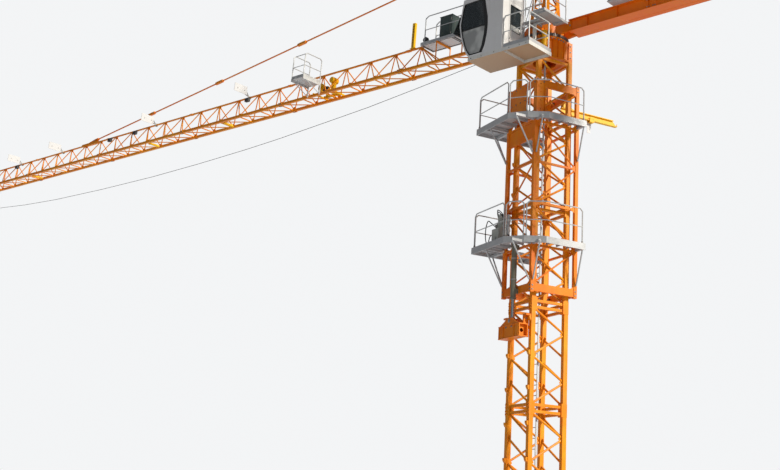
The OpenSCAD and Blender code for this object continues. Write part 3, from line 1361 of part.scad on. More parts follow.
module cab_rails() {
    z = cab_floor_z + face_gap;
    x = cab_x - porch_l + 20;
    color("whitesmoke") {
        for (s = [0, 1]) {
            y = s == 0 ? cab_y + 56 : cab_y1 - 20;
            run([[x, y, z], [x, y, z + rail_h - 40], [x + 40, y, z + rail_h], [cab_x - 40, y, z + rail_h], [cab_x - 20, y, z + rail_h - 40], [cab_x - 20, y, z]], rail_d);
            bar([x, y, z + rail_h / 2], [cab_x - 20, y, z + rail_h / 2], rail_d * 0.8);
        }
        for (h = [rail_h / 2, rail_h - 40]) bar([x, cab_y + 56, z + h], [x, cab_y1 - 20, z + h], rail_d);
    }
}

base_frame();
mast_section_1();
mast_section_2();
mast_section_3();
mast_section_4();
mast_section_5();
mast_top_section();
mast_ladder();
climbing_yoke();
ram_rod();
slewing_support();
slewing_ring();
cage_frame();
guide_rollers();
lower_platform();
lower_rails();
upper_platform();
upper_rails();
ram_barrel();
power_pack();
section_beam();
turntable();
slew_motor();
tower_head();
rope_sheaves();
head_platform();
jib_section_1();
jib_section_2();
jib_section_3();
jib_section_4();
jib_section_5();
jib_section_6();
jib_tip();
jib_post();
jib_tie();
root_walkway();
jib_cabinet();
trolley_winch();
winch_basket();
trolley();
hook_block();
hoist_rope();
counter_jib();
counter_deck();
counter_ties();
counterweights();
hoist_winch();
cab_frame();
cab_shell();
cab_glass();
cab_rails();
cab_door();
door_window();
cage_collars();
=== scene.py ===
"""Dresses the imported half-size tower crane with finishes and fine fittings.

Lengths are metres in the frame of the CAD: X along the jib, Y to the cab side, Z up from the ground.
"""

from __future__ import annotations

import json
import logging
import math
from collections.abc import Callable, Iterable, Iterator, Sequence
from dataclasses import dataclass
from enum import Enum
from functools import cached_property

import bpy
from mathutils import Matrix, Vector

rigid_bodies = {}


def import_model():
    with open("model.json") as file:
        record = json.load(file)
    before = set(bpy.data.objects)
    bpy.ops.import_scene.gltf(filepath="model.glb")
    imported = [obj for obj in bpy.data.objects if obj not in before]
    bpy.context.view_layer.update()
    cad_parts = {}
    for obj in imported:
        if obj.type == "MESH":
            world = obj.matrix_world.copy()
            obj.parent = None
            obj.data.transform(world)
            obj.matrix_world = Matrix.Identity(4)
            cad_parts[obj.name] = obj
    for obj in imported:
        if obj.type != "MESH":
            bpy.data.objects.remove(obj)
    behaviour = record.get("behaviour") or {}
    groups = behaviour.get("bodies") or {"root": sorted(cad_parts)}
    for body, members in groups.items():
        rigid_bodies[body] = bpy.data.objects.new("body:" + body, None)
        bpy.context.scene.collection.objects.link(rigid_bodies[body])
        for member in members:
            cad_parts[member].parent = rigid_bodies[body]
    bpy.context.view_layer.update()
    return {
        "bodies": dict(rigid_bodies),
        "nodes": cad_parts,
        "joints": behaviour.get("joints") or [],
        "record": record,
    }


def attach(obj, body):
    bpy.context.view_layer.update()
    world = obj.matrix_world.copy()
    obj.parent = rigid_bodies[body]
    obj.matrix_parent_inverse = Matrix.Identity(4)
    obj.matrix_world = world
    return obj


LOG = logging.getLogger("crane")
Point = tuple[float, float, float]
Colour = tuple[float, float, float]


class Body(Enum):
    """Moving groups of the crane, by their names in the record."""

    TOWER = "tower"
    CAGE = "cage"
    UPPER = "upper"
    DOOR = "door"


class Slot(Enum):
    """Material slots of the record."""

    MAST = "mast_paint"
    CAGE = "cage_paint"
    JIB = "jib_paint"
    YELLOW = "yellow_paint"
    GREY = "grey_paint"
    WHITE = "white_paint"
    ZINC = "galvanised"
    RING = "ring_steel"
    ROPE = "rope_steel"
    ROD = "rod_chrome"
    GLASS = "glass"


# --- Shader graph -----------------------------------------------------------------------------


@dataclass(frozen=True)
class Value:
    """A number socket on which Python's operators add Math nodes."""

    graph: Graph
    socket: bpy.types.NodeSocket

    def __add__(self, other: Value | float) -> Value:
        """Sum of two values."""
        return self.graph.maths("ADD", self, other)

    def __sub__(self, other: Value | float) -> Value:
        """Difference of two values."""
        return self.graph.maths("SUBTRACT", self, other)

    def __rsub__(self, other: float) -> Value:
        """Difference from a plain number."""
        return self.graph.maths("SUBTRACT", other, self)

    def __mul__(self, other: Value | float) -> Value:
        """Product of two values."""
        return self.graph.maths("MULTIPLY", self, other)

    __radd__ = __add__
    __rmul__ = __mul__

    def over(self, low: float, high: float) -> Value:
        """Ramps smoothly from 0 at one level to 1 at another.

        Args:
            low: Level that gives 0.
            high: Level that gives 1.

        Returns:
            The ramped value.
        """
        node = self.graph.node("ShaderNodeMapRange", {"interpolation_type": "SMOOTHSTEP"},
                               {"Value": self, "From Min": low, "From Max": high})
        return Value(self.graph, node.outputs["Result"])


class Graph:
    """Node tree of one material, ending in a Principled shader."""

    def __init__(self, name: str) -> None:
        """Starts an empty tree.

        Args:
            name: Name of the material.
        """
        self.material = bpy.data.materials.new(name)
        self.material.use_nodes = True
        self.tree = self.material.node_tree
        self.tree.nodes.clear()
        self.shader = self.node("ShaderNodeBsdfPrincipled")
        self.node("ShaderNodeOutputMaterial", inputs={"Surface": self.shader.outputs["BSDF"]})

    def node(self, kind: str, settings: dict | None = None, inputs: dict | None = None) -> bpy.types.Node:
        """Adds a node, with its settings made before its sockets are filled.

        Args:
            kind: Blender's name of the node type.
            settings: Attributes of the node; "stops" lists a ramp's places and colours.
            inputs: Values, sockets or Value objects by socket name or number.

        Returns:
            The new node.
        """
        node = self.tree.nodes.new(kind)
        for key, value in (settings or {}).items():
            if key == "stops":
                for stop, (place, colour) in zip(node.color_ramp.elements, value):
                    stop.position, stop.color = place, (*colour, 1)
            else:
                setattr(node, key, value)
        for key, value in (inputs or {}).items():
            self.fill(node.inputs[key], value)
        return node

    def fill(self, socket: bpy.types.NodeSocket, value: object) -> None:
        """Links or sets one socket.

        Args:
            socket: Socket to fill.
            value: Socket or Value object to link, or a number, vector or colour to set.
        """
        source = value.socket if isinstance(value, Value) else value
        if isinstance(source, bpy.types.NodeSocket):
            self.tree.links.new(source, socket)
        else:
            socket.default_value = (*source, 1) if socket.type == "RGBA" else source

    def maths(self, operation: str, a: Value | float, b: Value | float) -> Value:
        """Adds one Math node.

        Args:
            operation: Blender's name of the operation.
            a: First term.
            b: Second term.

        Returns:
            The node's result.
        """
        node = self.node("ShaderNodeMath", {"operation": operation}, {0: a, 1: b})
        return Value(self, node.outputs[0])

    @cached_property
    def place(self) -> bpy.types.NodeSocket:
        """Position on the object, in metres."""
        return self.node("ShaderNodeTexCoord").outputs["Object"]

    def stretched(self, stretch: Point) -> bpy.types.NodeSocket:
        """Position with each axis multiplied by its own factor.

        Args:
            stretch: Factors along X, Y and Z.

        Returns:
            The stretched position.
        """
        node = self.node("ShaderNodeVectorMath", {"operation": "MULTIPLY"}, {0: self.place, 1: stretch})
        return node.outputs["Vector"]

    def noise(self, scale: float, detail: float = 4, stretch: Point = (1, 1, 1)) -> Value:
        """Cloudy noise from 0 to 1.

        Args:
            scale: Blobs per metre.
            detail: Octaves of finer noise.
            stretch: Factors on the position.

        Returns:
            The noise.
        """
        node = self.node("ShaderNodeTexNoise", inputs={
            "Vector": self.stretched(stretch), "Scale": scale, "Detail": detail, "Roughness": 0.6})
        return Value(self, node.outputs["Fac"])

    def cells(self, scale: float, feature: str = "F1") -> bpy.types.Node:
        """Voronoi cells.

        Args:
            scale: Cells per metre.
            feature: Blender's name of the distance measured.

        Returns:
            The texture node.
        """
        return self.node("ShaderNodeTexVoronoi", {"feature": feature}, {"Vector": self.place, "Scale": scale})

    def wave(self, scale: float, direction: str = "DIAGONAL", distortion: float = 0) -> Value:
        """Straight bands from 0 to 1.

        Args:
            scale: Bands per metre, about.
            direction: Blender's name of the band direction.
            distortion: How much the bands waver.

        Returns:
            The bands.
        """
        node = self.node("ShaderNodeTexWave", {"bands_direction": direction},
                         {"Vector": self.place, "Scale": scale, "Distortion": distortion})
        return Value(self, node.outputs["Fac"])

    @cached_property
    def normal_z(self) -> Value:
        """Upward part of the surface's direction, from -1 to 1."""
        node = self.node("ShaderNodeSeparateXYZ",
                         inputs={"Vector": self.node("ShaderNodeNewGeometry").outputs["Normal"]})
        return Value(self, node.outputs["Z"])

    @cached_property
    def height(self) -> Value:
        """Height of the point above the ground at rest, in metres."""
        return Value(self, self.node("ShaderNodeSeparateXYZ", inputs={"Vector": self.place}).outputs["Z"])

    def blend(self, mask: Value, a: Colour | bpy.types.NodeSocket,
              b: Colour | bpy.types.NodeSocket) -> bpy.types.NodeSocket:
        """Mixes two colours.

        Args:
            mask: 0 gives the first colour, 1 the second.
            a: First colour.
            b: Second colour.

        Returns:
            The mixed colour.
        """
        node = self.node("ShaderNodeMix", {"data_type": "RGBA"}, {"Factor": mask, 6: a, 7: b})
        return node.outputs[2]

    def surface(self, colour: Colour | bpy.types.NodeSocket, roughness: Value | float,
                metallic: Value | float = 0.0) -> None:
        """Sets colour, roughness and metal of the shader.

        Args:
            colour: Colour or colour socket.
            roughness: Roughness or value.
            metallic: Metallic share or value.
        """
        for name, value in (("Base Color", colour), ("Roughness", roughness), ("Metallic", metallic)):
            self.fill(self.shader.inputs[name], value)

    def coat(self, weight: float, roughness: float) -> None:
        """Lays a clear coat over the shader.

        Args:
            weight: Strength of the coat.
            roughness: Roughness of the coat.
        """
        self.fill(self.shader.inputs["Coat Weight"], weight)
        self.fill(self.shader.inputs["Coat Roughness"], roughness)

    def bump(self, height: Value, strength: float, depth: float) -> None:
        """Feeds a height into the shader's normal.

        Args:
            height: Height of the relief, from 0 to 1.
            strength: Strength of the effect.
            depth: Depth of the relief in metres.
        """
        node = self.node("ShaderNodeBump", inputs={"Height": height, "Strength": strength, "Distance": depth})
        self.fill(self.shader.inputs["Normal"], node.outputs["Normal"])


# --- Finishes ---------------------------------------------------------------------------------


@dataclass(frozen=True)
class Finish:
    """Base of the finishes; each makes its material once."""

    name: str
    slot: Slot

    def paint(self, graph: Graph) -> None:
        """Fills the material's graph.

        Args:
            graph: Graph to fill.
        """
        raise NotImplementedError

    @property
    def material(self) -> bpy.types.Material:
        """The finish's material, made on first use."""
        found = bpy.data.materials.get(self.name)
        if found is None:
            graph = Graph(self.name)
            self.paint(graph)
            found = graph.material
        return found


@dataclass(frozen=True)
class Enamel(Finish):
    """Sprayed machine paint that fades, streaks, gathers dust and chips to primer and rust."""

    colour: Colour
    faded: Colour
    dust: Colour = (0.38, 0.26, 0.14)
    bare: Colour = (0.16, 0.075, 0.04)
    dirt: float = 0.5
    chips: float = 0.5
    gloss: float = 0.36
    under: Colour | None = None

    def paint(self, graph: Graph) -> None:
        """Fills the graph with fading, streaks, dust, chips and orange peel."""
        fade = graph.noise(1.1, 3).over(0.35, 0.7)
        panel = graph.noise(7, 5)
        streak = graph.noise(26, 4, (1, 1, 0.07)).over(0.5, 0.74)
        speck = graph.noise(95, 3)
        colour = graph.blend(fade * 0.6 + panel.over(0.4, 0.75) * 0.4, self.colour, self.faded)
        resting = graph.normal_z.over(0.25, 0.95) * graph.noise(16, 5).over(0.3, 0.65)
        film = (resting * 0.8 + streak * 0.38) * self.dirt
        colour = graph.blend(film, colour, self.dust)
        if self.under is not None:
            colour = graph.blend((0.0 - graph.normal_z).over(0.6, 0.9), colour, self.under)
        worn = speck.over(0.69 - 0.05 * self.chips, 0.73) * panel.over(0.5, 0.62) * self.chips
        rust = graph.blend(graph.noise(160, 2).over(0.4, 0.6), self.bare, (0.30, 0.11, 0.035))
        colour = graph.blend(worn, colour, rust)
        rough = self.gloss + film * 0.45 + worn * 0.4 + panel * 0.1
        graph.surface(colour, rough)
        graph.coat(0.08, 0.3)
        graph.fill(graph.shader.inputs["Specular IOR Level"], 0.3)
        relief = graph.noise(420, 2) * 0.35 + (1 - worn) * 0.6 + panel * 0.3
        graph.bump(relief, 0.22, 0.0015)


@dataclass(frozen=True)
class Zinc(Finish):
    """Hot-dip zinc with spangle, white bloom and rusty runs."""

    light: Colour = (0.66, 0.67, 0.68)
    dark: Colour = (0.44, 0.45, 0.47)
    tread: float = 0.0

    def paint(self, graph: Graph) -> None:
        """Fills the graph with crystals, bloom, runs and tread lumps."""
        spangle = graph.cells(75)
        shade = Value(graph, graph.node("ShaderNodeRGBToBW", inputs={
            "Color": spangle.outputs["Color"]}).outputs["Val"])
        bloom = graph.noise(9, 5).over(0.42, 0.7)
        colour = graph.blend(shade * 0.5 + bloom * 0.4, self.dark, self.light)
        runs = graph.noise(30, 4, (1, 1, 0.1)).over(0.62, 0.8)
        colour = graph.blend(runs * 0.4, colour, (0.24, 0.17, 0.11))
        soil = graph.normal_z.over(0.6, 0.95) * graph.noise(22, 5).over(0.35, 0.62)
        colour = graph.blend(soil * 0.45, colour, (0.30, 0.25, 0.19))
        graph.surface(colour, 0.46 + bloom * 0.2 + soil * 0.2 + shade * 0.1, 0.4 - soil * 0.3)
        if self.tread:
            lumps = graph.wave(42, "X") * graph.wave(42, "Y") * self.tread
        else:
            lumps = graph.noise(240, 2) * 0.3
        graph.bump(lumps + shade * 0.15, 0.3, 0.002)


@dataclass(frozen=True)
class GreasedSteel(Finish):
    """Machined steel with a film of grease and dirt."""

    light: Colour = (0.34, 0.33, 0.32)
    dark: Colour = (0.07, 0.06, 0.05)

    def paint(self, graph: Graph) -> None:
        """Fills the graph with tool marks and patches of grease."""
        grease = graph.noise(18, 5).over(0.38, 0.66)
        marks = graph.wave(160, "Z", 2)
        colour = graph.blend(grease, self.light, self.dark)
        graph.surface(colour, 0.3 + grease * 0.25 + marks * 0.08, 0.9 - grease * 0.5)
        graph.bump(marks * 0.3 + grease * 0.7, 0.2, 0.0008)


@dataclass(frozen=True)
class Strands(Finish):
    """Greased wire rope, its strands laid round at a slant."""

    light: Colour = (0.30, 0.29, 0.28)
    dark: Colour = (0.045, 0.04, 0.035)
    per_metre: float = 42

    def paint(self, graph: Graph) -> None:
        """Fills the graph with slanting strands and rust blooms."""
        lay = graph.wave(self.per_metre)
        bloom = graph.noise(6, 4).over(0.45, 0.7)
        colour = graph.blend(lay.over(0.2, 0.8), self.dark, self.light)
        colour = graph.blend(bloom * 0.35, colour, (0.16, 0.08, 0.04))
        graph.surface(colour, 0.45 + bloom * 0.2, 0.7 - bloom * 0.3)
        graph.bump(lay, 0.6, 0.0015)


@dataclass(frozen=True)
class Chrome(Finish):
    """Hard chrome of a piston rod, with fine scratches and an oil film."""

    def paint(self, graph: Graph) -> None:
        """Fills the graph with scratches along the rod."""
        scratch = graph.noise(300, 2, (1, 1, 0.03))
        oil = graph.noise(12, 3).over(0.45, 0.6)
        colour = graph.blend(oil * 0.5, (0.78, 0.79, 0.80), (0.55, 0.50, 0.42))
        graph.surface(colour, 0.09 + scratch.over(0.5, 0.7) * 0.12 + oil * 0.08, 1.0)
        graph.bump(scratch, 0.06, 0.0004)


@dataclass(frozen=True)
class Pane(Finish):
    """Tinted cab glass with dusty smears and water spots."""

    tint: Colour = (0.022, 0.030, 0.034)
    # Colour of the painted glare on the lower panes, and the height below which it is painted.
    pale: Colour = (0.62, 0.63, 0.62)
    painted_glare_below: float = 8.30
    solid: float = 0.82

    def paint(self, graph: Graph) -> None:
        """Fills the graph with tint, painted glare on the lower panes, smears and water spots."""
        smear = graph.noise(7, 5, (1, 1, 0.3)).over(0.5, 0.78)
        spot = graph.noise(130, 2).over(0.66, 0.75)
        # Painted light: below the set height the tint is mixed, in patches, towards the pale colour. This
        # painted glare stands in for the light seen in the lower panes.
        low = graph.height.over(self.painted_glare_below + 0.01, self.painted_glare_below)
        patches = graph.noise(3.2, 2).over(0.42, 0.58) * 0.4 + 0.55
        colour = graph.blend(low * patches, self.tint, self.pale)
        colour = graph.blend(smear * 0.2 + spot * 0.15, colour, (0.30, 0.30, 0.28))
        graph.surface(colour, 0.05 + smear * 0.12 + spot * 0.15)
        haze = self.solid + smear * 0.12 + spot * 0.05
        graph.fill(graph.shader.inputs["Alpha"], haze)
        graph.coat(0.6, 0.03)


@dataclass(frozen=True)
class Rubber(Finish):
    """Black rubber, chalky where it faces the sky."""

    colour: Colour = (0.018, 0.018, 0.019)
    chalk: Colour = (0.10, 0.095, 0.09)
    ribs: float = 0.0

    def paint(self, graph: Graph) -> None:
        """Fills the graph with chalking and moulded ribs."""
        chalky = graph.noise(24, 4).over(0.45, 0.75) * graph.normal_z.over(-0.2, 0.9)
        graph.surface(graph.blend(chalky, self.colour, self.chalk), 0.55 + chalky * 0.3)
        relief = graph.wave(self.ribs, "DIAGONAL") if self.ribs else graph.noise(350, 2)
        graph.bump(relief, 0.2, 0.001)


@dataclass(frozen=True)
class CastConcrete(Finish):
    """Cast ballast with cloudy tone, pores and damp streaks."""

    light: Colour = (0.50, 0.49, 0.46)
    dark: Colour = (0.27, 0.26, 0.25)

    def paint(self, graph: Graph) -> None:
        """Fills the graph with clouds, pores and streaks."""
        cloud = graph.noise(3.5, 6).over(0.35, 0.7)
        pores = Value(graph, graph.cells(60).outputs["Distance"]).over(0.02, 0.2)
        streak = graph.noise(20, 4, (1, 1, 0.08)).over(0.5, 0.75)
        colour = graph.blend(cloud, self.dark, self.light)
        colour = graph.blend(streak * 0.5, colour, (0.17, 0.155, 0.14))
        graph.surface(graph.blend(pores, (0.13, 0.125, 0.12), colour), 0.85 - cloud * 0.1)
        graph.bump(pores * 0.7 + graph.noise(90, 4) * 0.6, 0.4, 0.003)


@dataclass(frozen=True)
class Moulded(Finish):
    """Grained plastic of consoles, seats and covers."""

    colour: Colour = (0.035, 0.036, 0.04)
    worn: Colour = (0.10, 0.10, 0.105)

    def paint(self, graph: Graph) -> None:
        """Fills the graph with pebble grain and rubbed patches."""
        grain = Value(graph, graph.cells(520).outputs["Distance"])
        rubbed = graph.noise(14, 4).over(0.5, 0.75)
        graph.surface(graph.blend(rubbed * 0.6, self.colour, self.worn), 0.6 - rubbed * 0.15)
        graph.bump(grain, 0.35, 0.0007)


MAST_PAINT = Enamel("mast_orange", Slot.MAST, (0.84, 0.235, 0.001), (0.88, 0.38, 0.002))
CAGE_PAINT = Enamel("cage_orange", Slot.CAGE, (0.80, 0.165, 0.001), (0.86, 0.29, 0.002), chips=0.8, dirt=0.35)
JIB_PAINT = Enamel("jib_orange", Slot.JIB, (0.84, 0.235, 0.0015), (0.89, 0.37, 0.004), dirt=0.25, chips=0.4)
GIRDER_PAINT = Enamel("girder_orange", Slot.JIB, (0.82, 0.135, 0.0006), (0.86, 0.20, 0.001),
                      dirt=0.12, chips=0.6)
YELLOW_PAINT = Enamel("sunny_yellow", Slot.YELLOW, (0.88, 0.46, 0.004), (0.90, 0.56, 0.012),
                      chips=0.7, dirt=0.35)
WHITE_PAINT = Enamel("cab_white", Slot.WHITE, (0.70, 0.70, 0.71), (0.65, 0.64, 0.64),
                     dirt=0.2, chips=0.15, gloss=0.3)
FRAME_PAINT = Enamel("cab_frame_white", Slot.WHITE, (0.70, 0.70, 0.68), (0.62, 0.61, 0.58),
                     dirt=0.4, chips=0.5, under=(0.50, 0.33, 0.20))
GREY_PAINT = Enamel("machine_grey", Slot.GREY, (0.13, 0.14, 0.145), (0.22, 0.22, 0.22), dirt=0.4, chips=0.4)
CABINET_PAINT = Enamel("cabinet_grey", Slot.GREY, (0.045, 0.068, 0.068), (0.075, 0.10, 0.10),
                       dirt=0.3, chips=0.3)
PACK_PAINT = Enamel("pack_grey", Slot.GREY, (0.40, 0.42, 0.39), (0.50, 0.51, 0.48), dirt=0.4, chips=0.4)
RAM_PAINT = Enamel("ram_olive", Slot.GREY, (0.17, 0.17, 0.13), (0.23, 0.23, 0.18), dirt=0.4, chips=0.5)
BLUE_GREY = Enamel("winch_grey", Slot.GREY, (0.17, 0.20, 0.24), (0.24, 0.26, 0.29), dirt=0.4, chips=0.5)
ZINC = Zinc("platform_zinc", Slot.ZINC, (0.56, 0.57, 0.58), (0.43, 0.44, 0.46))
RAIL_ZINC = Zinc("rail_zinc", Slot.ZINC, (0.62, 0.63, 0.63), (0.50, 0.51, 0.52))
TREAD_ZINC = Zinc("tread_zinc", Slot.ZINC, (0.62, 0.63, 0.63), (0.42, 0.43, 0.44), tread=1.0)
BOLT_ZINC = Zinc("bolt_zinc", Slot.ZINC, (0.50, 0.50, 0.50), (0.22, 0.20, 0.18))
RING_STEEL = GreasedSteel("ring_steel", Slot.RING)
ROPE = Strands("wire_rope", Slot.ROPE, (0.19, 0.185, 0.18), (0.03, 0.028, 0.025))
CHROME = Chrome("rod_chrome", Slot.ROD)
GLASS = Pane("cab_glass", Slot.GLASS)
SEAL = Rubber("window_seal", Slot.GREY)
HOSE = Rubber("hydraulic_hose", Slot.GREY, ribs=90)
CONCRETE = CastConcrete("ballast_concrete", Slot.GREY)
PLASTIC = Moulded("dark_plastic", Slot.GREY)
SEAT_CLOTH = Moulded("seat_cover", Slot.GREY, (0.05, 0.06, 0.09), (0.12, 0.13, 0.16))
PLATE_WHITE = Enamel("bare_plate_white", Slot.WHITE, (0.67, 0.68, 0.70), (0.63, 0.64, 0.66),
                     dirt=0.08, chips=0.0)


# --- Mesh building ----------------------------------------------------------------------------


class Shape:
    """Mesh under construction, in a frame of its own."""

    def __init__(self, frame: Matrix | None = None) -> None:
        """Starts an empty mesh.

        Args:
            frame: Places the mesh in the frame of the CAD.
        """
        self.frame = frame or Matrix.Identity(4)
        self.points: list[Vector] = []
        self.faces: list[tuple[int, ...]] = []

    def add(self, points: Iterable[Vector], faces: Iterable[Sequence[int]]) -> None:
        """Adds a closed piece.

        Args:
            points: Corners.
            faces: Faces, as numbers of corners.
        """
        base = len(self.points)
        self.points += [Vector(p) for p in points]
        self.faces += [tuple(base + i for i in face) for face in faces]

    def box(self, low: Point, high: Point) -> None:
        """Adds a box.

        Args:
            low: One corner.
            high: The corner across from it.
        """
        xs, ys, zs = (sorted(pair) for pair in zip(low, high))
        points = [Vector((x, y, z)) for z in zs for y in ys for x in xs]
        self.add(points, [(0, 2, 3, 1), (4, 5, 7, 6), (0, 1, 5, 4), (2, 6, 7, 3), (0, 4, 6, 2), (1, 3, 7, 5)])

    def beam(self, start: Point, end: Point, wide: float, tall: float) -> None:
        """Adds a bar of rectangular section between two points.

        Args:
            start: First end.
            end: Second end.
            wide: Width, across the upright plane.
            tall: Height, in the upright plane.
        """
        a, b = Vector(start), Vector(end)
        along = (b - a).normalized()
        side = along.cross(Vector((0, 0, 1)))
        side = Vector((0, 1, 0)) if side.length < 1e-4 else side.normalized()
        up = side.cross(along)
        corners = [side * (s * wide / 2) + up * (t * tall / 2)
                   for s, t in ((-1, -1), (1, -1), (1, 1), (-1, 1))]
        self.add([p + c for p in (a, b) for c in corners],
                 [(0, 3, 2, 1), (4, 5, 6, 7)] + [(i, (i + 1) % 4, 4 + (i + 1) % 4, 4 + i) for i in range(4)])

    def pipe(self, path: Sequence[Point], radius: float, sides: int = 10) -> None:
        """Adds a round tube along a path.

        Args:
            path: Points that the middle follows.
            radius: Radius of the tube.
            sides: Sides of the tube.
        """
        points = [Vector(p) for p in path]
        ring: list[Vector] = []
        up = Vector((0.13, 0.21, 1)).normalized()
        for i, point in enumerate(points):
            before, after = points[max(i - 1, 0)], points[min(i + 1, len(points) - 1)]
            along = (after - before).normalized()
            side = along.cross(up)
            if side.length < 0.05:
                side = along.cross(Vector((0, 1, 0)))
            side.normalize()
            up = side.cross(along)
            ring += [point + (side * u + up * v) * radius for u, v in circle(sides)]
        faces = [tuple(range(sides)), tuple(reversed(range(len(ring) - sides, len(ring))))]
        for i in range(len(points) - 1):
            for k in range(sides):
                a, b = i * sides + k, i * sides + (k + 1) % sides
                faces.append((a, a + sides, b + sides, b))
        self.add(ring, faces)

    def rod(self, start: Point, end: Point, radius: float, sides: int = 16) -> None:
        """Adds a straight round bar.

        Args:
            start: First end.
            end: Second end.
            radius: Radius of the bar.
            sides: Sides of the bar.
        """
        self.pipe([start, end], radius, sides)

    def bolt(self, at: Point, axis: Point, radius: float = 0.011, head: float = 0.008) -> None:
        """Adds a hexagon head on a washer.

        Args:
            at: Point on the plate.
            axis: Direction that the head stands out in.
            radius: Radius over the head's corners.
            head: Height of the head.
        """
        foot, out = Vector(at), Vector(axis).normalized()
        self.rod(foot, foot + out * head * 0.3, radius * 1.35, 14)
        self.rod(foot + out * head * 0.3, foot + out * head * 1.3, radius, 6)
        self.rod(foot + out * head * 1.3, foot + out * head * 1.8, radius * 0.5, 8)

    def slab(self, outline: Sequence[tuple[float, float]], at: Callable[[float, float, float], Point],
             thick: float) -> None:
        """Adds a flat plate of any outline.

        Args:
            outline: Corners in the plate's plane.
            at: Turns a corner and a depth into a point.
            thick: Thickness of the plate.
        """
        n = len(outline)
        points = [Vector(at(u, v, d)) for d in (0.0, thick) for u, v in outline]
        self.add(points, [tuple(range(n)), tuple(reversed(range(n, 2 * n)))]
                 + [(i, (i + 1) % n, n + (i + 1) % n, n + i) for i in range(n)])

    def spin(self, profile: Sequence[tuple[float, float]], at: Point, axis: str = "Z",
             sides: int = 32) -> None:
        """Adds a turned piece.

        Args:
            profile: Radius and height of each corner, from the bottom up.
            at: Origin of the heights.
            axis: Axis that the piece turns about.
            sides: Facets of the round.
        """
        order = {"X": (2, 0, 1), "Y": (1, 2, 0), "Z": (0, 1, 2)}[axis]
        local = [(r * u, r * v, h) for r, h in profile for u, v in circle(sides)]
        points = [Vector([p[i] for i in order]) + Vector(at) for p in local]
        n = len(profile)
        faces = [tuple(reversed(range(sides))), tuple(range((n - 1) * sides, n * sides))]
        for i in range(n - 1):
            for k in range(sides):
                a, b = i * sides + k, i * sides + (k + 1) % sides
                faces.append((a, b, b + sides, a + sides))
        self.add(points, faces)

    def ring(self, inner: float, outer: float, low: float, high: float, at: Point, axis: str = "Z",
             sides: int = 32, ease: float = 0.001) -> None:
        """Adds a turned disc with a softened rim.

        Args:
            inner: Radius of its flat faces.
            outer: Radius of its rim.
            low: Lowest height along the axis.
            high: Highest height along the axis.
            at: Origin of the heights.
            axis: Axis that the disc turns about.
            sides: Facets of the round.
            ease: Height of the softened edge.
        """
        self.spin([(inner, low), (outer, low + ease), (outer, high - ease), (inner, high)], at, axis, sides)

    def pin_head(self, profile: Sequence[tuple[float, float]], at: Point, side: int) -> None:
        """Adds a turned pin head that stands out along Y.

        Args:
            profile: Radius and height of each corner, outwards.
            at: Origin of the heights.
            side: 1 when it stands out towards +Y, -1 towards -Y.
        """
        self.spin(profile if side > 0 else [(r, -h) for r, h in reversed(profile)], at, "Y", 20)

    def coil(self, start: Point, span: float, radius: float, wire: float, turns: int) -> None:
        """Adds rope wound on a drum whose axis is Y.

        Args:
            start: Middle of the first turn.
            span: Length of drum covered.
            radius: Radius at the rope's middle.
            wire: Radius of the rope.
            turns: Number of turns.
        """
        parts, (x, y, z) = 14, start
        round_ = circle(parts, radius)
        path = [(x + round_[i % parts][0], y + span * i / (turns * parts), z + round_[i % parts][1])
                for i in range(turns * parts + 1)]
        self.pipe(path, wire, 6)

    def piece(self, name: str, finish: Finish, body: Body, bevel: float = 0.0) -> bpy.types.Object:
        """Turns the mesh into a named piece that rides on a body.

        Args:
            name: Name of the piece.
            finish: Finish it gets.
            body: Body that carries it.
            bevel: Width of its softened edges, or 0.

        Returns:
            The piece.
        """
        mesh = bpy.data.meshes.new(name)
        mesh.from_pydata([self.frame @ p for p in self.points], [], self.faces)
        mesh.validate()
        for polygon in mesh.polygons:
            polygon.use_smooth = True
        mesh.set_sharp_from_angle(angle=math.radians(34))
        mesh.materials.append(finish.material)
        thing = bpy.data.objects.new(name, mesh)
        bpy.context.scene.collection.objects.link(thing)
        if bevel:
            edge = thing.modifiers.new("edges", "BEVEL")
            edge.width, edge.segments, edge.limit_method = bevel, 2, "ANGLE"
        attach(thing, body.value)
        LOG.info("piece %s: %d faces", name, len(mesh.polygons))
        return thing


def circle(count: int, radius: float = 1.0, shift: float = 0.0) -> list[tuple[float, float]]:
    """Points spread evenly round a circle.

    Args:
        count: Number of points.
        radius: Radius of the circle.
        shift: Share of a step by which the first point is turned.

    Returns:
        The points.
    """
    angles = [math.tau * (i + shift) / count for i in range(count)]
    return [(radius * math.cos(a), radius * math.sin(a)) for a in angles]


def hoop(count: int, radius: float = 1.0) -> list[tuple[float, float]]:
    """Points round a circle that come back to the first.

    Args:
        count: Number of parts.
        radius: Radius of the circle.

    Returns:
        The points.
    """
    points = circle(count, radius)
    return points + points[:1]


def steps(start: float, stop: float, pitch: float) -> Iterator[float]:
    """Places from one end up to the other.

    Args:
        start: First place.
        stop: End, which isn't reached.
        pitch: Distance between two places.

    Yields:
        Each place.
    """
    place = start
    while place < stop:
        yield place
        place += pitch


# --- Sizes shared by the sub-assemblies --------------------------------------------------------


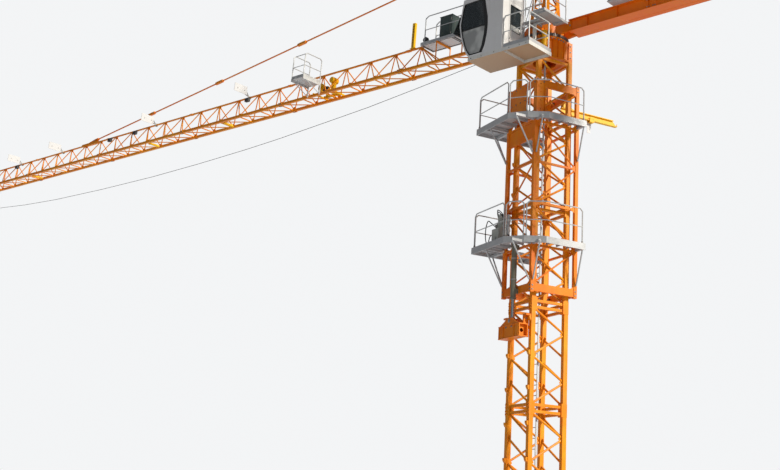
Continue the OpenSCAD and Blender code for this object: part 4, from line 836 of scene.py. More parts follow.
@dataclass(frozen=True)
class Layout:
    """Driving sizes of the CAD, in metres."""

    turn: float = 20.7
    mast: float = 0.575
    leg: float = 0.07
    foot: float = 0.925
    section: float = 1.5
    sleeve: float = 0.095
    mast_top: float = 7.91
    support_top: float = 8.26
    support: float = 0.644
    table: float = 8.3063
    table_top: float = 8.4763
    jib_foot: tuple[float, float] = (0.475, 8.4063)
    jib_rise: float = 0.85
    jib_width: float = 0.37
    jib_depth: float = 0.465
    bay: float = 0.645
    root: float = 2.275
    girder_low: float = 8.2953
    girder_high: float = 8.5003
    cage: float = 0.765
    cage_leg: float = 0.056
    decks: tuple[float, float] = (4.785, 6.75)
    ram: tuple[float, float] = (0.0, 0.4529)

    @property
    def mast_frame(self) -> Matrix:
        """Frame of the mast and cage."""
        return Matrix.Rotation(math.radians(-self.turn), 4, "Z")

    @property
    def jib_frame(self) -> Matrix:
        """Frame of the jib, X outwards from its foot pins."""
        place = Matrix.Translation((self.jib_foot[0], 0, self.jib_foot[1]))
        return place @ Matrix.Rotation(math.radians(-self.jib_rise), 4, "Y")

    @property
    def mast_out(self) -> float:
        """Distance from the axis to the mast's outer faces."""
        return (self.mast + self.leg) / 2

    @property
    def joints(self) -> list[float]:
        """Heights of the joints between the mast sections."""
        return [self.foot + self.section * i for i in range(5)]

    def node(self, k: int) -> float:
        """Place along the jib of node k of the top chord."""
        return self.root + self.bay * k


LAYOUT = Layout()
CORNERS = ((1, 1), (-1, 1), (-1, -1), (1, -1))
SIDES = (-1, 1)


class Assembly:
    """Base of the sub-assemblies: builds its fittings and dresses its CAD nodes."""

    body: Body = Body.UPPER
    place: Matrix | None = None
    nodes: dict[str, Finish] = {}

    def shape(self) -> Shape:
        """Starts an empty mesh in the sub-assembly's frame.

        Returns:
            The mesh.
        """
        return Shape(self.place)

    def dress(self, frame: dict) -> None:
        """Gives each CAD node its finish.
        """
        for name, finish in self.nodes.items():
            mesh = frame["nodes"][name].data
            mesh.materials.clear()
            mesh.materials.append(finish.material)

    def build(self) -> None:
        """Makes the pieces that the CAD leaves out."""


# --- Tower ------------------------------------------------------------------------------------


@dataclass
class Mast(Assembly):
    """Square lattice mast with its foot, ladder and joints."""

    bolt_rise: tuple[float, ...] = (0.028, 0.068, -0.028, -0.068)
    bolt_side: float = 0.019
    head: float = 0.008
    flush_head: float = 0.00027
    gusset: float = 0.045
    gusset_thick: float = 0.006
    foot_plate: float = 0.06
    anchor_out: float = 0.075
    anchor: tuple[tuple[float, float, float, int], ...] = (
        (0.022, 0.025, 0.024, 20), (0.025, 0.039, 0.0195, 6), (0.039, 0.067, 0.0115, 14))
    arm_x: tuple[float, float] = (-0.212, -0.052)
    arm_y: tuple[float, float] = (0.168, 0.200)
    body = Body.TOWER
    place = LAYOUT.mast_frame
    nodes = {
        "base_frame": MAST_PAINT, **{f"mast_section_{i}": MAST_PAINT for i in range(1, 6)},
        "mast_top_section": MAST_PAINT, "mast_ladder": ZINC,
    }

    def build(self) -> None:
        """Makes joint bolts, node gussets, anchor nuts, ladder clips and joint lugs."""
        self.joint_bolts()
        self.node_gussets()
        self.anchors()
        self.ladder_clips()
        self.joint_lugs()

    def joint_bolts(self) -> None:
        """Makes the bolts of the leg sleeves, with flush heads where the cage's rollers run."""
        shape = self.shape()
        half, out = LAYOUT.mast / 2, LAYOUT.mast_out + 0.003
        for joint in LAYOUT.joints:
            for sx, sy in CORNERS:
                head = self.head if sy > 0 else self.flush_head
                for rise in self.bolt_rise:
                    for side in (-self.bolt_side, self.bolt_side):
                        z = joint + rise
                        shape.bolt((sx * out, sy * half + side, z), (sx, 0, 0), head=self.flush_head)
                        shape.bolt((sx * half + side, sy * out, z), (0, sy, 0), head=head)
        shape.piece("joint_bolts", MAST_PAINT, self.body)

    def node_gussets(self) -> None:
        """Makes small plates where the braces meet the legs."""
        shape = self.shape()
        inner, face = LAYOUT.mast / 2 - LAYOUT.leg / 2, LAYOUT.mast / 2
        t, g = self.gusset_thick, self.gusset
        outline = [(0, -g * 0.8), (-g, -g * 0.25), (-g, g * 0.25), (0, g * 0.8)]
        joints = LAYOUT.joints
        spans = [(self.foot_plate, joints[0], 2), *((z, z + LAYOUT.section, 4) for z in joints[:-1]),
                 (joints[-1], LAYOUT.mast_top, 2)]
        for low, high, panels in spans:
            start, pitch = low + LAYOUT.sleeve / 2, (high - low - LAYOUT.sleeve) / panels
            for i in range(panels + 1):
                a, z = (-1) ** i, start + i * pitch
                for s in SIDES:
                    shape.slab(outline, lambda u, v, d: (s * face - t / 2 + d, a * (inner + u), z + v), t)
                    shape.slab(outline, lambda u, v, d: (-a * (inner + u), s * face - t / 2 + d, z + v), t)
        shape.piece("node_gussets", MAST_PAINT, self.body)

    def anchors(self) -> None:
        """Makes washers, nuts and studs on the foot plates."""
        shape = self.shape()
        for sx, sy in CORNERS:
            for tx, ty in CORNERS:
                x = sx * LAYOUT.mast / 2 + tx * self.anchor_out
                y = sy * LAYOUT.mast / 2 + ty * self.anchor_out
                for low, high, radius, sides in self.anchor:
                    shape.rod((x, y, low), (x, y, high), radius, sides)
        shape.piece("anchor_nuts", BOLT_ZINC, self.body)

    def ladder_clips(self) -> None:
        """Makes clips and bolts where the ladder's arms meet its stiles."""
        shape = self.shape()
        y0, y1 = self.arm_y
        for joint in LAYOUT.joints:
            z = joint + LAYOUT.sleeve / 2
            for x in self.arm_x:
                shape.box((x - 0.012, y0, z - 0.016), (x - 0.007, y1, z + 0.016))
                for y in (y0 + 0.008, y1 - 0.008):
                    shape.bolt((x + 0.007, y, z), (1, 0, 0), 0.006, 0.004)
        shape.piece("ladder_clips", ZINC, self.body)

    def joint_lugs(self) -> None:
        """Makes small cheeks with a pin where two sections meet."""
        shape = self.shape()
        half = LAYOUT.mast / 2 - LAYOUT.leg / 2 - 0.022
        for joint in LAYOUT.joints:
            for sx, sy in CORNERS:
                x, y = sx * (half - 0.012), sy * (half + 0.045)
                shape.box((x, y - 0.02, joint - 0.06), (x - sx * 0.012, y + 0.02, joint + 0.06))
                shape.rod((x - sx * 0.02, y, joint), (x + sx * 0.014, y, joint), 0.012, 12)
        shape.piece("joint_lugs", MAST_PAINT, self.body, 0.003)


@dataclass
class SlewingSupport(Assembly):
    """Plated box, toothed ring and motor below the turntable."""

    ribs: int = 4
    rib_pitch: float = 0.11
    rib_out: float = 0.016
    flange: float = 0.024
    ring_bolts: int = 36
    ring_radius: float = 0.352
    body = Body.TOWER
    place = LAYOUT.mast_frame
    nodes = {"slewing_support": CAGE_PAINT, "slewing_ring": RING_STEEL, "slew_motor": YELLOW_PAINT}

    def build(self) -> None:
        """Makes the stiffeners, the bolts and the motor's fittings."""
        self.stiffeners()
        self.bolts()
        self.motor_fittings()

    def stiffeners(self) -> None:
        """Makes the upright ribs on the four sides of the box."""
        shape, out = self.shape(), self.rib_out
        half = LAYOUT.support / 2 - self.flange
        low, high = LAYOUT.mast_top + self.flange, LAYOUT.support_top - 0.03
        outline = [(0, low), (out, low), (out, low + 0.05), (out * 0.4, high), (0, high)]
        for turn in range(4):
            spin = Matrix.Rotation(math.tau * turn / 4, 4, "Z")
            for i in range(self.ribs):
                y = (i - (self.ribs - 1) / 2) * self.rib_pitch
                shape.slab(outline, lambda u, v, d: tuple(spin @ Vector((half + u, y + d, v))), 0.008)
        shape.piece("support_ribs", CAGE_PAINT, self.body, 0.002)

    def bolts(self) -> None:
        """Makes the bolts of the ring's flange and of the box's corners."""
        shape = self.shape()
        for x, y in circle(self.ring_bolts, self.ring_radius, 0.5):
            shape.bolt((x, y, LAYOUT.support_top - self.flange), (0, 0, -1), 0.012, 0.009)
        out, near = LAYOUT.support / 2, LAYOUT.support / 2 - 0.035
        for sx, sy in CORNERS:
            for k in range(3):
                z = LAYOUT.mast_top + 0.07 + 0.1 * k
                shape.bolt((sx * out, sy * near, z), (sx, 0, 0))
                shape.bolt((sx * near, sy * out, z), (0, sy, 0))
        shape.piece("support_bolts", BOLT_ZINC, self.body)

    def motor_fittings(self) -> None:
        """Makes the slewing motor's cap, terminal box and cable."""
        x, y, top = -LAYOUT.support / 2 - 0.047, 0.252, LAYOUT.support_top + 0.03
        cap = self.shape()
        cap.spin([(0.034, 0), (0.040, 0.003), (0.040, 0.012), (0.030, 0.019), (0.008, 0.022)], (x, y, top))
        cap.box((x - 0.024, y - 0.062, top - 0.13), (x + 0.024, y - 0.034, top - 0.07))
        cap.piece("motor_cap", YELLOW_PAINT, self.body, 0.002)
        cable = self.shape()
        drops = ((0, 0.05, 0.13), (0.004, 0.052, 0.17), (0.02, 0.07, 0.21), (0.046, 0.11, 0.23),
                 (0.052, 0.16, 0.25))
        cable.pipe([(x + dx, y - dy, top - dz) for dx, dy, dz in drops], 0.006)
        cable.piece("motor_cable", HOSE, self.body)


@dataclass
class Climber(Assembly):
    """Yoke and rod that stand on the mast's lugs."""

    low: float = 3.425
    high: float = 3.615
    reach: float = 0.286
    front: float = 0.5105
    flange: float = 0.008
    rib_x: tuple[float, ...] = (-0.272, -0.15, 0.15, 0.272)
    pin_z: float = 3.675
    hook: tuple[float, float] = (0.3675, 3.70)
    eye_top: float = 3.7255
    body = Body.TOWER
    place = LAYOUT.mast_frame
    nodes = {"climbing_yoke": CAGE_PAINT, "ram_rod": CHROME}

    def build(self) -> None:
        """Makes the yoke's stiffeners, the pin's keeper and the hooks' bolts."""
        low, high, flange = self.low, self.high, self.flange
        front, out = self.front, self.front + 0.010
        shape = self.shape()
        for x in self.rib_x:
            shape.box((x - 0.004, front, low + flange), (x + 0.004, out, high - flange))
        shape.box((-self.reach, front, high - flange), (self.reach, out, high))
        shape.box((-self.reach, front, low), (self.reach, out, low + flange))
        shape.piece("yoke_stiffeners", CAGE_PAINT, self.body, 0.0015)
        pins = self.shape()
        x, y = LAYOUT.ram
        for s in SIDES:
            pins.rod((s * 0.2155, *self.hook), (s * 0.2535, *self.hook), 0.010)
            pins.bolt((s * 0.075, front + 0.0005, high - 0.03), (0, 1, 0))
        pins.spin([(0.016, 0), (0.027, 0.001), (0.027, 0.007), (0.016, 0.010)],
                  (x, front - 0.0036, self.pin_z), "Y", 24)
        keeper = (front + 0.002, self.pin_z + 0.004)
        pins.rod((x - 0.022, *keeper), (x + 0.022, *keeper), 0.0035, 8)
        pins.ring(0.026, 0.034, 0, 0.015, (x, y, self.eye_top), ease=0.003)
        pins.piece("yoke_pins", BOLT_ZINC, self.body)


# --- Climbing cage ----------------------------------------------------------------------------


@dataclass
class Cage(Assembly):
    """Sliding lattice cage with its collar plates, rollers and section beam."""

    gusset: float = 0.08
    levels: tuple[float, ...] = (4.185, 4.785, 5.44, 6.095, 6.75, 7.35)
    bolt_levels: tuple[float, ...] = (4.11, 4.17, 4.83, 6.79, 7.38, 7.44)
    open_below: float = 6.9
    plate_out: float = 0.0125
    runner_y: float = -0.925
    beam_low: float = 7.1397
    beam_end: tuple[float, float] = (-1.4385, -1.4285)
    body = Body.CAGE
    place = LAYOUT.mast_frame
    nodes = {
        "cage_frame": CAGE_PAINT, "cage_collars": CAGE_PAINT, "guide_rollers": RING_STEEL,
        "section_beam": YELLOW_PAINT,
    }

    def build(self) -> None:
        """Makes corner gussets, bolts and the section trolley."""
        self.gussets()
        self.bolts()
        self.section_trolley()

    def gussets(self) -> None:
        """Makes corner plates where rings and braces meet the cage's legs, not on the open side."""
        shape, g = self.shape(), self.gusset
        half, leg = LAYOUT.cage / 2, LAYOUT.cage_leg / 2
        near, out = half - leg, half + leg * 0.55
        outline = [(0, -g * 0.7), (-g, -g * 0.1), (-g, g * 0.1), (0, g * 0.7)]
        for z in self.levels:
            for sx, sy in CORNERS:
                shape.slab(outline, lambda u, v, d: (sx * (out + d), sy * (near + u), z + v), 0.005)
                if sy > 0 or z > self.open_below:
                    shape.slab(outline, lambda u, v, d: (sx * (near + u), sy * (out + d), z + v), 0.005)
        shape.piece("cage_gussets", CAGE_PAINT, self.body)

    def bolts(self) -> None:
        """Makes bolts on the cage's legs, collars and deep beam."""
        shape = self.shape()
        half, out = LAYOUT.cage / 2, (LAYOUT.cage + LAYOUT.cage_leg) / 2
        for z in self.bolt_levels:
            for sx, sy in CORNERS:
                shape.bolt((sx * out, sy * half, z), (sx, 0, 0), 0.010, 0.007)
                shape.bolt((sx * half, sy * out, z), (0, sy, 0), 0.010, 0.007)
        plate = out + self.plate_out
        for x in (-0.12, 0.01, 0.14, 0.265):
            for z in (6.91, 7.15, 7.39):
                shape.bolt((x, plate, z), (0, 1, 0), 0.009, 0.006)
        for z in (6.9, 7.4):
            for y in (0.27, 0.39):
                shape.bolt((-plate, y, z), (-1, 0, 0), 0.009, 0.006)
        shape.piece("cage_bolts", BOLT_ZINC, self.body)

    def section_trolley(self) -> None:
        """Makes the runner on the section beam, its chain and the pale plate that hangs from it."""
        shape = self.shape()
        y, low = self.runner_y, self.beam_low
        for s in SIDES:
            shape.box((s * 0.036, y - 0.045, low - 0.028), (s * 0.043, y + 0.045, low + 0.058))
            for e in (-0.026, 0.026):
                x0, x1 = sorted((s * 0.010, s * 0.047))
                shape.rod((x0, y + e, low + 0.0285), (x1, y + e, low + 0.0285), 0.016, 18)
        shape.box((-0.043, y - 0.040, low - 0.036), (0.043, y + 0.040, low - 0.028))
        for x in (-0.026, 0.026):
            shape.box((x - 0.005, self.beam_end[0], low + 0.012), (x + 0.005, self.beam_end[1], low + 0.044))
        shape.piece("section_runner", YELLOW_PAINT, self.body, 0.0015)
        chain = self.shape()
        for i in range(6):
            z, turn = low - 0.045 - i * 0.017, i % 2
            link = [(u * 0.006, v * 0.0115) for u, v in hoop(10)]
            chain.pipe([(u * (1 - turn), y + u * turn, z + v) for u, v in link], 0.0022, 5)
        chain.piece("section_chain", BOLT_ZINC, self.body)
        plate = self.shape()
        plate.slab([(-0.0305, 0), (0.0305, 0), (0.0305, 0.16), (0.018, 0.178), (-0.018, 0.178),
                    (-0.0305, 0.16)], lambda u, v, d: (0.020 + d, y + 0.022 + u, low - 0.206 + v), 0.006)
        plate.piece("beam_plate", PLATE_WHITE, self.body, 0.0015)


@dataclass
class Platform(Assembly):
    """Platform round the cage, with its grating, bearers and rail sockets."""

    title: str
    level: float
    pitch: float = 0.033
    floor: float = 0.07
    ram_gap: float = 0.09
    ram_end: float = 0.512
    inset: float = 0.0243
    body = Body.CAGE
    place = LAYOUT.mast_frame
    outline = ((-0.6, -0.425), (-0.6, 0.276), (-0.426, 0.5571), (-0.174, 0.76), (0.785, 0.76),
               (0.785, -0.425))
    panels = ((0, 1, 2), (2, 3), (3, 4), (4, 5))

    @property
    def cage_out(self) -> float:
        """Distance from the axis to the cage's outer faces."""
        return (LAYOUT.cage + LAYOUT.cage_leg) / 2

    def dress(self, frame: dict) -> None:
        """Gives deck and rails their finishes.
        """
        self.nodes = {f"{self.title}_platform": ZINC, f"{self.title}_rails": RAIL_ZINC}
        super().dress(frame)

    def build(self) -> None:
        """Makes grating, bearers and rail feet."""
        self.grating()
        self.bearers()
        self.rail_feet()

    def width_at(self, y: float) -> tuple[float, float]:
        """Deck's reach in X at a place in Y.

        Args:
            y: Place in Y.

        Returns:
            Lowest and highest X, short of the edge beam.
        """
        low = self.outline[0][0]
        for (x0, y0), (x1, y1) in zip(self.outline, self.outline[1:4]):
            if y0 <= y <= y1 and y1 > y0:
                low = x0 + (x1 - x0) * (y - y0) / (y1 - y0)
        return low + 0.02, self.outline[4][0] - 0.02

    def grating(self) -> None:
        """Makes the bars laid across the deck, open round the cage and, on the lower deck, the ram."""
        shape = self.shape()
        top, inner = self.level + self.floor, self.cage_out + 0.006
        for y in steps(-0.41, 0.74, self.pitch):
            low, high = self.width_at(y)
            spans = [(low, -inner), (inner, high)] if y < inner else [(low, high)]
            if inner <= y < self.ram_end and self.title == "lower":
                spans = [(low, -self.ram_gap), (self.ram_gap, high)]
            for a, b in spans:
                if b - a > 0.03:
                    shape.box((a, y - 0.0025, top), (b, y + 0.0025, top + 0.006))
        shape.piece(f"{self.title}_grating", TREAD_ZINC, self.body)

    def bearers(self) -> None:
        """Makes the angles under the deck from the edge to the cage."""
        shape = self.shape()
        low, high = self.level + 0.012, self.level + 0.054
        inner = self.cage_out + 0.002
        for y in (-0.2, -0.02, 0.16):
            for a, b in ((-0.585, -inner), (inner, 0.77)):
                shape.box((a, y, low), (b, y + 0.004, high))
                shape.box((a, y, high - 0.004), (b, y + 0.03, high))
        for x, end in ((-0.2, 0.70), (0.12, 0.745), (0.5, 0.745)):
            shape.box((x, inner, low), (x + 0.004, end, high))
            shape.box((x, inner, high - 0.004), (x + 0.03, end, high))
        shape.beam((-0.41, 0.40, low + 0.02), (-0.47, 0.45, low + 0.02), 0.005, 0.04)
        shape.piece(f"{self.title}_bearers", ZINC, self.body)

    def rail_feet(self) -> None:
        """Makes the sockets and clamp pins at the posts."""
        shape = self.shape()
        floor = self.level + self.floor
        corners = [Vector((x, y, 0)) for x, y in self.outline]
        centre = (corners[0] + corners[4]) / 2
        points = [p - Vector((math.copysign(self.inset, p.x - centre.x),
                              math.copysign(self.inset, p.y - centre.y), 0)) for p in corners]
        for panel in self.panels:
            first, second, before, last = (points[panel[i]] for i in (0, 1, -2, -1))
            for foot in (first + (second - first).normalized() * 0.02,
                         last - (last - before).normalized() * 0.02):
                shape.rod((foot.x, foot.y, floor + 0.001), (foot.x, foot.y, floor + 0.062), 0.0135, 14)
                pin = foot + (foot - centre).normalized() * 0.02
                shape.rod((foot.x, foot.y, floor + 0.03), (pin.x, pin.y, floor + 0.03), 0.004, 8)
        shape.piece(f"{self.title}_rail_feet", BOLT_ZINC, self.body)


@dataclass
class PowerPack(Assembly):
    """Hydraulic pack, cylinder and hoses of the climbing gear."""

    corner: Point = (0.18, 0.4705, 4.855)
    fins: int = 9
    hose: float = 0.0075
    ports: tuple[float, float] = (4.885, 4.94)
    bands: tuple[float, float] = (4.30, 4.62)
    body = Body.CAGE
    place = LAYOUT.mast_frame
    nodes = {"power_pack": PACK_PAINT, "ram_barrel": RAM_PAINT}

    def build(self) -> None:
        """Makes the pack's fittings, the hoses and the cylinder's bands."""
        self.fittings()
        self.hoses()
        self.ram_bands()

    def fittings(self) -> None:
        """Makes fins, caps and bolts of the pack, its gauge and the pale cylinder beside it."""
        x, y, z = self.corner
        shape = self.shape()
        for i in range(self.fins):
            shape.ring(0.0505, 0.058, 0, 0.007, (x + 0.06, y + 0.085, z + 0.285 + i * 0.018))
        shape.spin([(0.045, 0), (0.050, 0.004), (0.050, 0.016), (0.03, 0.024)],
                   (x + 0.06, y + 0.085, z + 0.468))
        shape.box((x + 0.07, y + 0.170, z + 0.06), (x + 0.15, y + 0.182, z + 0.13))
        shape.rod((x + 0.17, y + 0.035, z + 0.26), (x + 0.17, y + 0.035, z + 0.282), 0.016, 18)
        for sx in (0.014, 0.186):
            for sy in (0.014, 0.156):
                shape.bolt((x + sx, y + sy, z + 0.26), (0, 0, 1), 0.006, 0.005)
        shape.piece("pack_fittings", PACK_PAINT, self.body, 0.0015)
        gauge, at = self.shape(), (x + 0.13, y + 0.14)
        gauge.rod((*at, z + 0.26), (*at, z + 0.30), 0.005, 10)
        gauge.spin([(0.004, -0.012), (0.02, -0.012), (0.02, 0.006), (0.017, 0.008), (0.004, 0.008)],
                   (*at, z + 0.318), "Y", 24)
        gauge.piece("pack_gauge", BOLT_ZINC, self.body)
        filler = self.shape()
        filler.spin([(0.016, 0), (0.024, 0.004), (0.024, 0.30), (0.020, 0.312), (0.008, 0.318)],
                    (0.030, 0.556, 4.984))
        for low in (5.03, 5.20):
            filler.box((0.020, 0.526, low), (0.040, 0.536, low + 0.04))
        filler.piece("pale_cylinder", RAIL_ZINC, self.body, 0.001)

    def hoses(self) -> None:
        """Makes the hoses to the cylinder and the loop beside the pack."""
        x, y, z = self.corner
        rx, ry = LAYOUT.ram
        shape = self.shape()
        for i, port in enumerate(self.ports):
            sx, sy, top = x + 0.15, y + 0.085 - 0.02 * i, z + 0.50 + 0.03 * i
            shape.pipe(self.smooth([
                (sx, sy, z + 0.375), (sx, sy, z + 0.43), (x + 0.125, y + 0.12, top),
                (x + 0.06, y + 0.150, top + 0.02), (x - 0.03, ry + 0.14, top - 0.06),
                (x - 0.09, ry + 0.11, top - 0.22), (0.060, ry + 0.075, top - 0.38),
                (0.022, ry + 0.066, port), (rx, ry + 0.060, port)]), self.hose)
        sx, sy = 0.42, 0.645
        shape.pipe(self.smooth([
            (x + 0.20, sy - 0.05, z + 0.20), (sx, sy, z + 0.16), (sx + 0.06, sy, z + 0.05),
            (sx + 0.13, sy, z + 0.13), (sx + 0.14, sy, z + 0.30), (sx + 0.08, sy, z + 0.42),
            (sx, sy - 0.01, z + 0.38), (x + 0.15, y + 0.12, z + 0.29)]), self.hose)
        shape.piece("pack_hoses", HOSE, self.body)

    def ram_bands(self) -> None:
        """Makes the bands and hose ports of the cylinder."""
        rx, ry = LAYOUT.ram
        shape = self.shape()
        for h in self.bands:
            shape.ring(0.0425, 0.047, -0.012, 0.012, (rx, ry, h), ease=0)
        for h in self.ports:
            shape.rod((rx, ry + 0.036, h), (rx, ry + 0.064, h), 0.011, 14)
        shape.piece("ram_bands", BOLT_ZINC, self.body)

    @staticmethod
    def smooth(points: Sequence[Point], parts: int = 5) -> list[Point]:
        """Runs a smooth curve through points.

        Args:
            points: Points to pass.
            parts: Parts between two points.

        Returns:
            The curve's points.
        """
        p = [Vector(points[0]), *map(Vector, points), Vector(points[-1])]
        out = []
        for a, b, c, d in zip(p, p[1:], p[2:], p[3:]):
            for i in range(parts):
                t = i / parts
                out.append(0.5 * (2 * b + (c - a) * t + (2 * a - 5 * b + 4 * c - d) * t * t
                                  + (3 * b - a - 3 * c + d) * t ** 3))
        return [tuple(q) for q in (*out, p[-1])]


# --- Cab --------------------------------------------------------------------------------------


@dataclass
class Cab(Assembly):
    """Cab hung on the side, with its windows, door, seat and porch."""

    x: float = 0.045
    floor: float = 7.82
    length: float = 0.66
    height: float = 1.03
    y_in: float = 0.52
    y_out: float = 1.065
    edge: float = 0.036
    band: float = 0.085
    mullion: float = 0.476
    door_lock: tuple[float, float] = (0.884, 7.846)
    porch_start: float = -0.485
    nodes = {
        "cab_frame": FRAME_PAINT, "cab_shell": WHITE_PAINT, "cab_glass": GLASS, "cab_rails": RAIL_ZINC,
        "cab_door": WHITE_PAINT, "door_window": GLASS,
    }
    door_pane = ((0.610, 8.207), (0.870, 8.637))
    rim_centre = (0.875, 0.49)
    rim_growth = (1.045, 1.028)
    front_zones = ((0.06, 0.465), (0.487, 0.93))
    sash = ((0.866, 8.7748), (1.0905, 8.347))
    sash_y = (0.568, 1.017)
    side_share = ((0.606, 0.035), (0.53, 0.15), (0.478, 0.32), (0.462, 0.45), (0.47, 0.6), (0.515, 0.74),
                  (0.555, 0.87), (0.58, 0.925), (1.19, 0.925), (1.225, 0.85), (1.262, 0.7), (1.285, 0.58),
                  (1.258, 0.47), (1.215, 0.35), (1.157, 0.235), (1.1, 0.145), (1.015, 0.06), (0.985, 0.035))
    front_share = ((0, 0), (0.068, 0.04), (0.15, 0.135), (0.212, 0.233), (0.27, 0.35), (0.31, 0.476),
                   (0.341, 0.573), (0.335, 0.64), (0.318, 0.69), (0.28, 0.85), (0.24, 1))

    @property
    def middle(self) -> float:
        """Place in Y of the cab's middle."""
        return (self.y_in + self.y_out) / 2

    def at(self, u: float, v: float) -> tuple[float, float]:
        """Place in X and Z of a share of the cab's length and height.

        Args:
            u: Share of the length.
            v: Share of the height.

        Returns:
            The place.
        """
        return self.x + u * self.length, self.floor + v * self.height

    def on_side(self, shares: Iterable[tuple[float, float]], y: float) -> list[Point]:
        """Turns shares of length and height into points of a side.

        Args:
            shares: Shares of the length and height.
            y: Place in Y.

        Returns:
            The points.
        """
        return [(x, y, z) for x, z in (self.at(u, v) for u, v in shares)]

    def on_front(self, v: float, y: float, lift: float = 0.0) -> Point:
        """Point of the front at a share of the height.

        Args:
            v: Share of the height.
            y: Place in Y.
            lift: Distance in front of the pane.

        Returns:
            The point.
        """
        share = 0.0
        for (a, va), (b, vb) in zip(self.front_share, self.front_share[1:]):
            if va <= v <= vb:
                share = a + (b - a) * (v - va) / (vb - va)
                break
        return self.x + self.length * (1 + share) + lift, y, self.floor + v * self.height

    def build(self) -> None:
        """Makes seals, bars, wiper, roof edge, seat, consoles, door fittings and porch details."""
        self.rims_and_bands()
        self.seals()
        self.open_sash()
        self.crossbars()
        self.roof()
        self.interior()
        self.door_fittings()
        self.porch()

    def rims_and_bands(self) -> None:
        """Makes the pale rims round the side windows and the dark bands at their rear."""
        rims, bands = self.shape(), self.shape()
        (cu, cv), (gu, gv) = self.rim_centre, self.rim_growth
        wide = [(cu + (u - cu) * gu, cv + (v - cv) * gv) for u, v in (*self.side_share, *self.side_share[:2])]
        for y in (self.y_out - 0.002, self.y_in + 0.002):
            rims.pipe(self.on_side(wide, y), 0.006, 8)
        rims.piece("window_rims", WHITE_PAINT, self.body)
        rear = self.side_share[:8]
        outline = [self.at(u, v) for u, v in rear] + [self.at(u + self.band, v) for u, v in reversed(rear)]
        for y in (self.y_out - 0.001, self.y_in - 0.002):
            bands.slab(outline, lambda u, v, d: (u, y + d, v), 0.003)
        bands.piece("window_bands", SEAL, self.body)

    def seals(self) -> None:
        """Makes the black seals of the side and front windows."""
        shape = self.shape()
        for y in (self.y_out - 0.002, self.y_in + 0.002):
            shape.pipe(self.on_side((*self.side_share, *self.side_share[:2]), y), 0.011, 8)
        left, right = self.y_in + self.edge, self.y_out - self.edge
        for low, high in self.front_zones:
            levels = [low + (high - low) * i / 8 for i in range(9)]
            for y in (left, right):
                shape.pipe([self.on_front(v, y) for v in levels], 0.009, 8)
            for v in (low, high):
                shape.pipe([self.on_front(v, left), self.on_front(v, right)], 0.009, 8)
        shape.piece("window_seals", SEAL, self.body)

    def open_sash(self) -> None:
        """Makes the frame of the open front pane and its two stays."""
        shape = self.shape()
        (x0, z0), (x1, z1) = self.sash
        left, right = self.sash_y
        shape.pipe([(x0, left, z0), (x0, right, z0), (x1, right, z1), (x1, left, z1), (x0, left, z0),
                    (x0, left + 0.032, z0)], 0.008, 8)
        share = 0.62
        for y in (left + 0.032, right - 0.032):
            foot = (x0 + (x1 - x0) * share, y, z0 + (z1 - z0) * share)
            shape.rod(foot, self.on_front(share, y, -0.004), 0.004, 8)
        shape.piece("open_sash_frame", SEAL, self.body)

    def crossbars(self) -> None:
        """Makes the bars across the windows and the wiper of the lower front pane."""
        shape = self.shape()
        start, z = self.at(0.463, self.mullion)
        end = self.at(1.258, self.mullion)[0]
        for y in (self.y_out - 0.002, self.y_in - 0.006):
            shape.box((start, y, z - 0.008), (end, y + 0.008, z + 0.008))
        px = self.on_front(self.mullion, 0)[0]
        shape.box((px - 0.006, self.y_in + self.edge, z - 0.010),
                  (px + 0.008, self.y_out - self.edge, z + 0.010))
        shape.piece("window_bars", SEAL, self.body, 0.002)
        wiper, pivot = self.shape(), 0.43
        for shares, lift, radius in (((pivot, 0.38, 0.32, 0.26), 0.013, 0.004),
                                     ((0.36, 0.30, 0.24, 0.17, 0.12), 0.008, 0.003)):
            wiper.pipe([self.on_front(v, self.middle + 0.3 * (pivot - v), lift) for v in shares], radius, 6)
        wiper.rod(self.on_front(pivot, self.middle, -0.004), self.on_front(pivot, self.middle, 0.015), 0.012)
        wiper.piece("cab_wiper", SEAL, self.body)

    def roof(self) -> None:
        """Makes the roof's gutter, hatch, vent and lifting eyes."""
        x0, x1, top, g = self.x, self.on_front(0.999, 0)[0], self.floor + self.height, 0.012
        left, right = self.y_in, self.y_out
        shape = self.shape()
        for y in (right - g, left):
            shape.box((x0, y, top), (x1, y + g, top + g))
        for x in (x0, x1 - g):
            shape.box((x, left + g, top), (x + g, right - g, top + g))
        shape.box((x0 + 0.12, left + 0.12, top), (x0 + 0.42, right - 0.12, top + 0.018))
        shape.spin([(0.045, 0), (0.045, 0.022), (0.06, 0.026), (0.06, 0.034), (0.03, 0.044)],
                   (x1 - 0.14, self.middle, top))
        shape.piece("cab_roof_edge", WHITE_PAINT, self.body, 0.002)
        eyes, radius = self.shape(), 0.018
        for x in (x0 + 0.05, x1 - 0.05):
            for y in (left + 0.045, right - 0.045):
                eyes.pipe([(x + u, y, top + radius + v) for u, v in hoop(14, radius)], 0.005, 8)
        eyes.piece("cab_lifting_eyes", BOLT_ZINC, self.body)

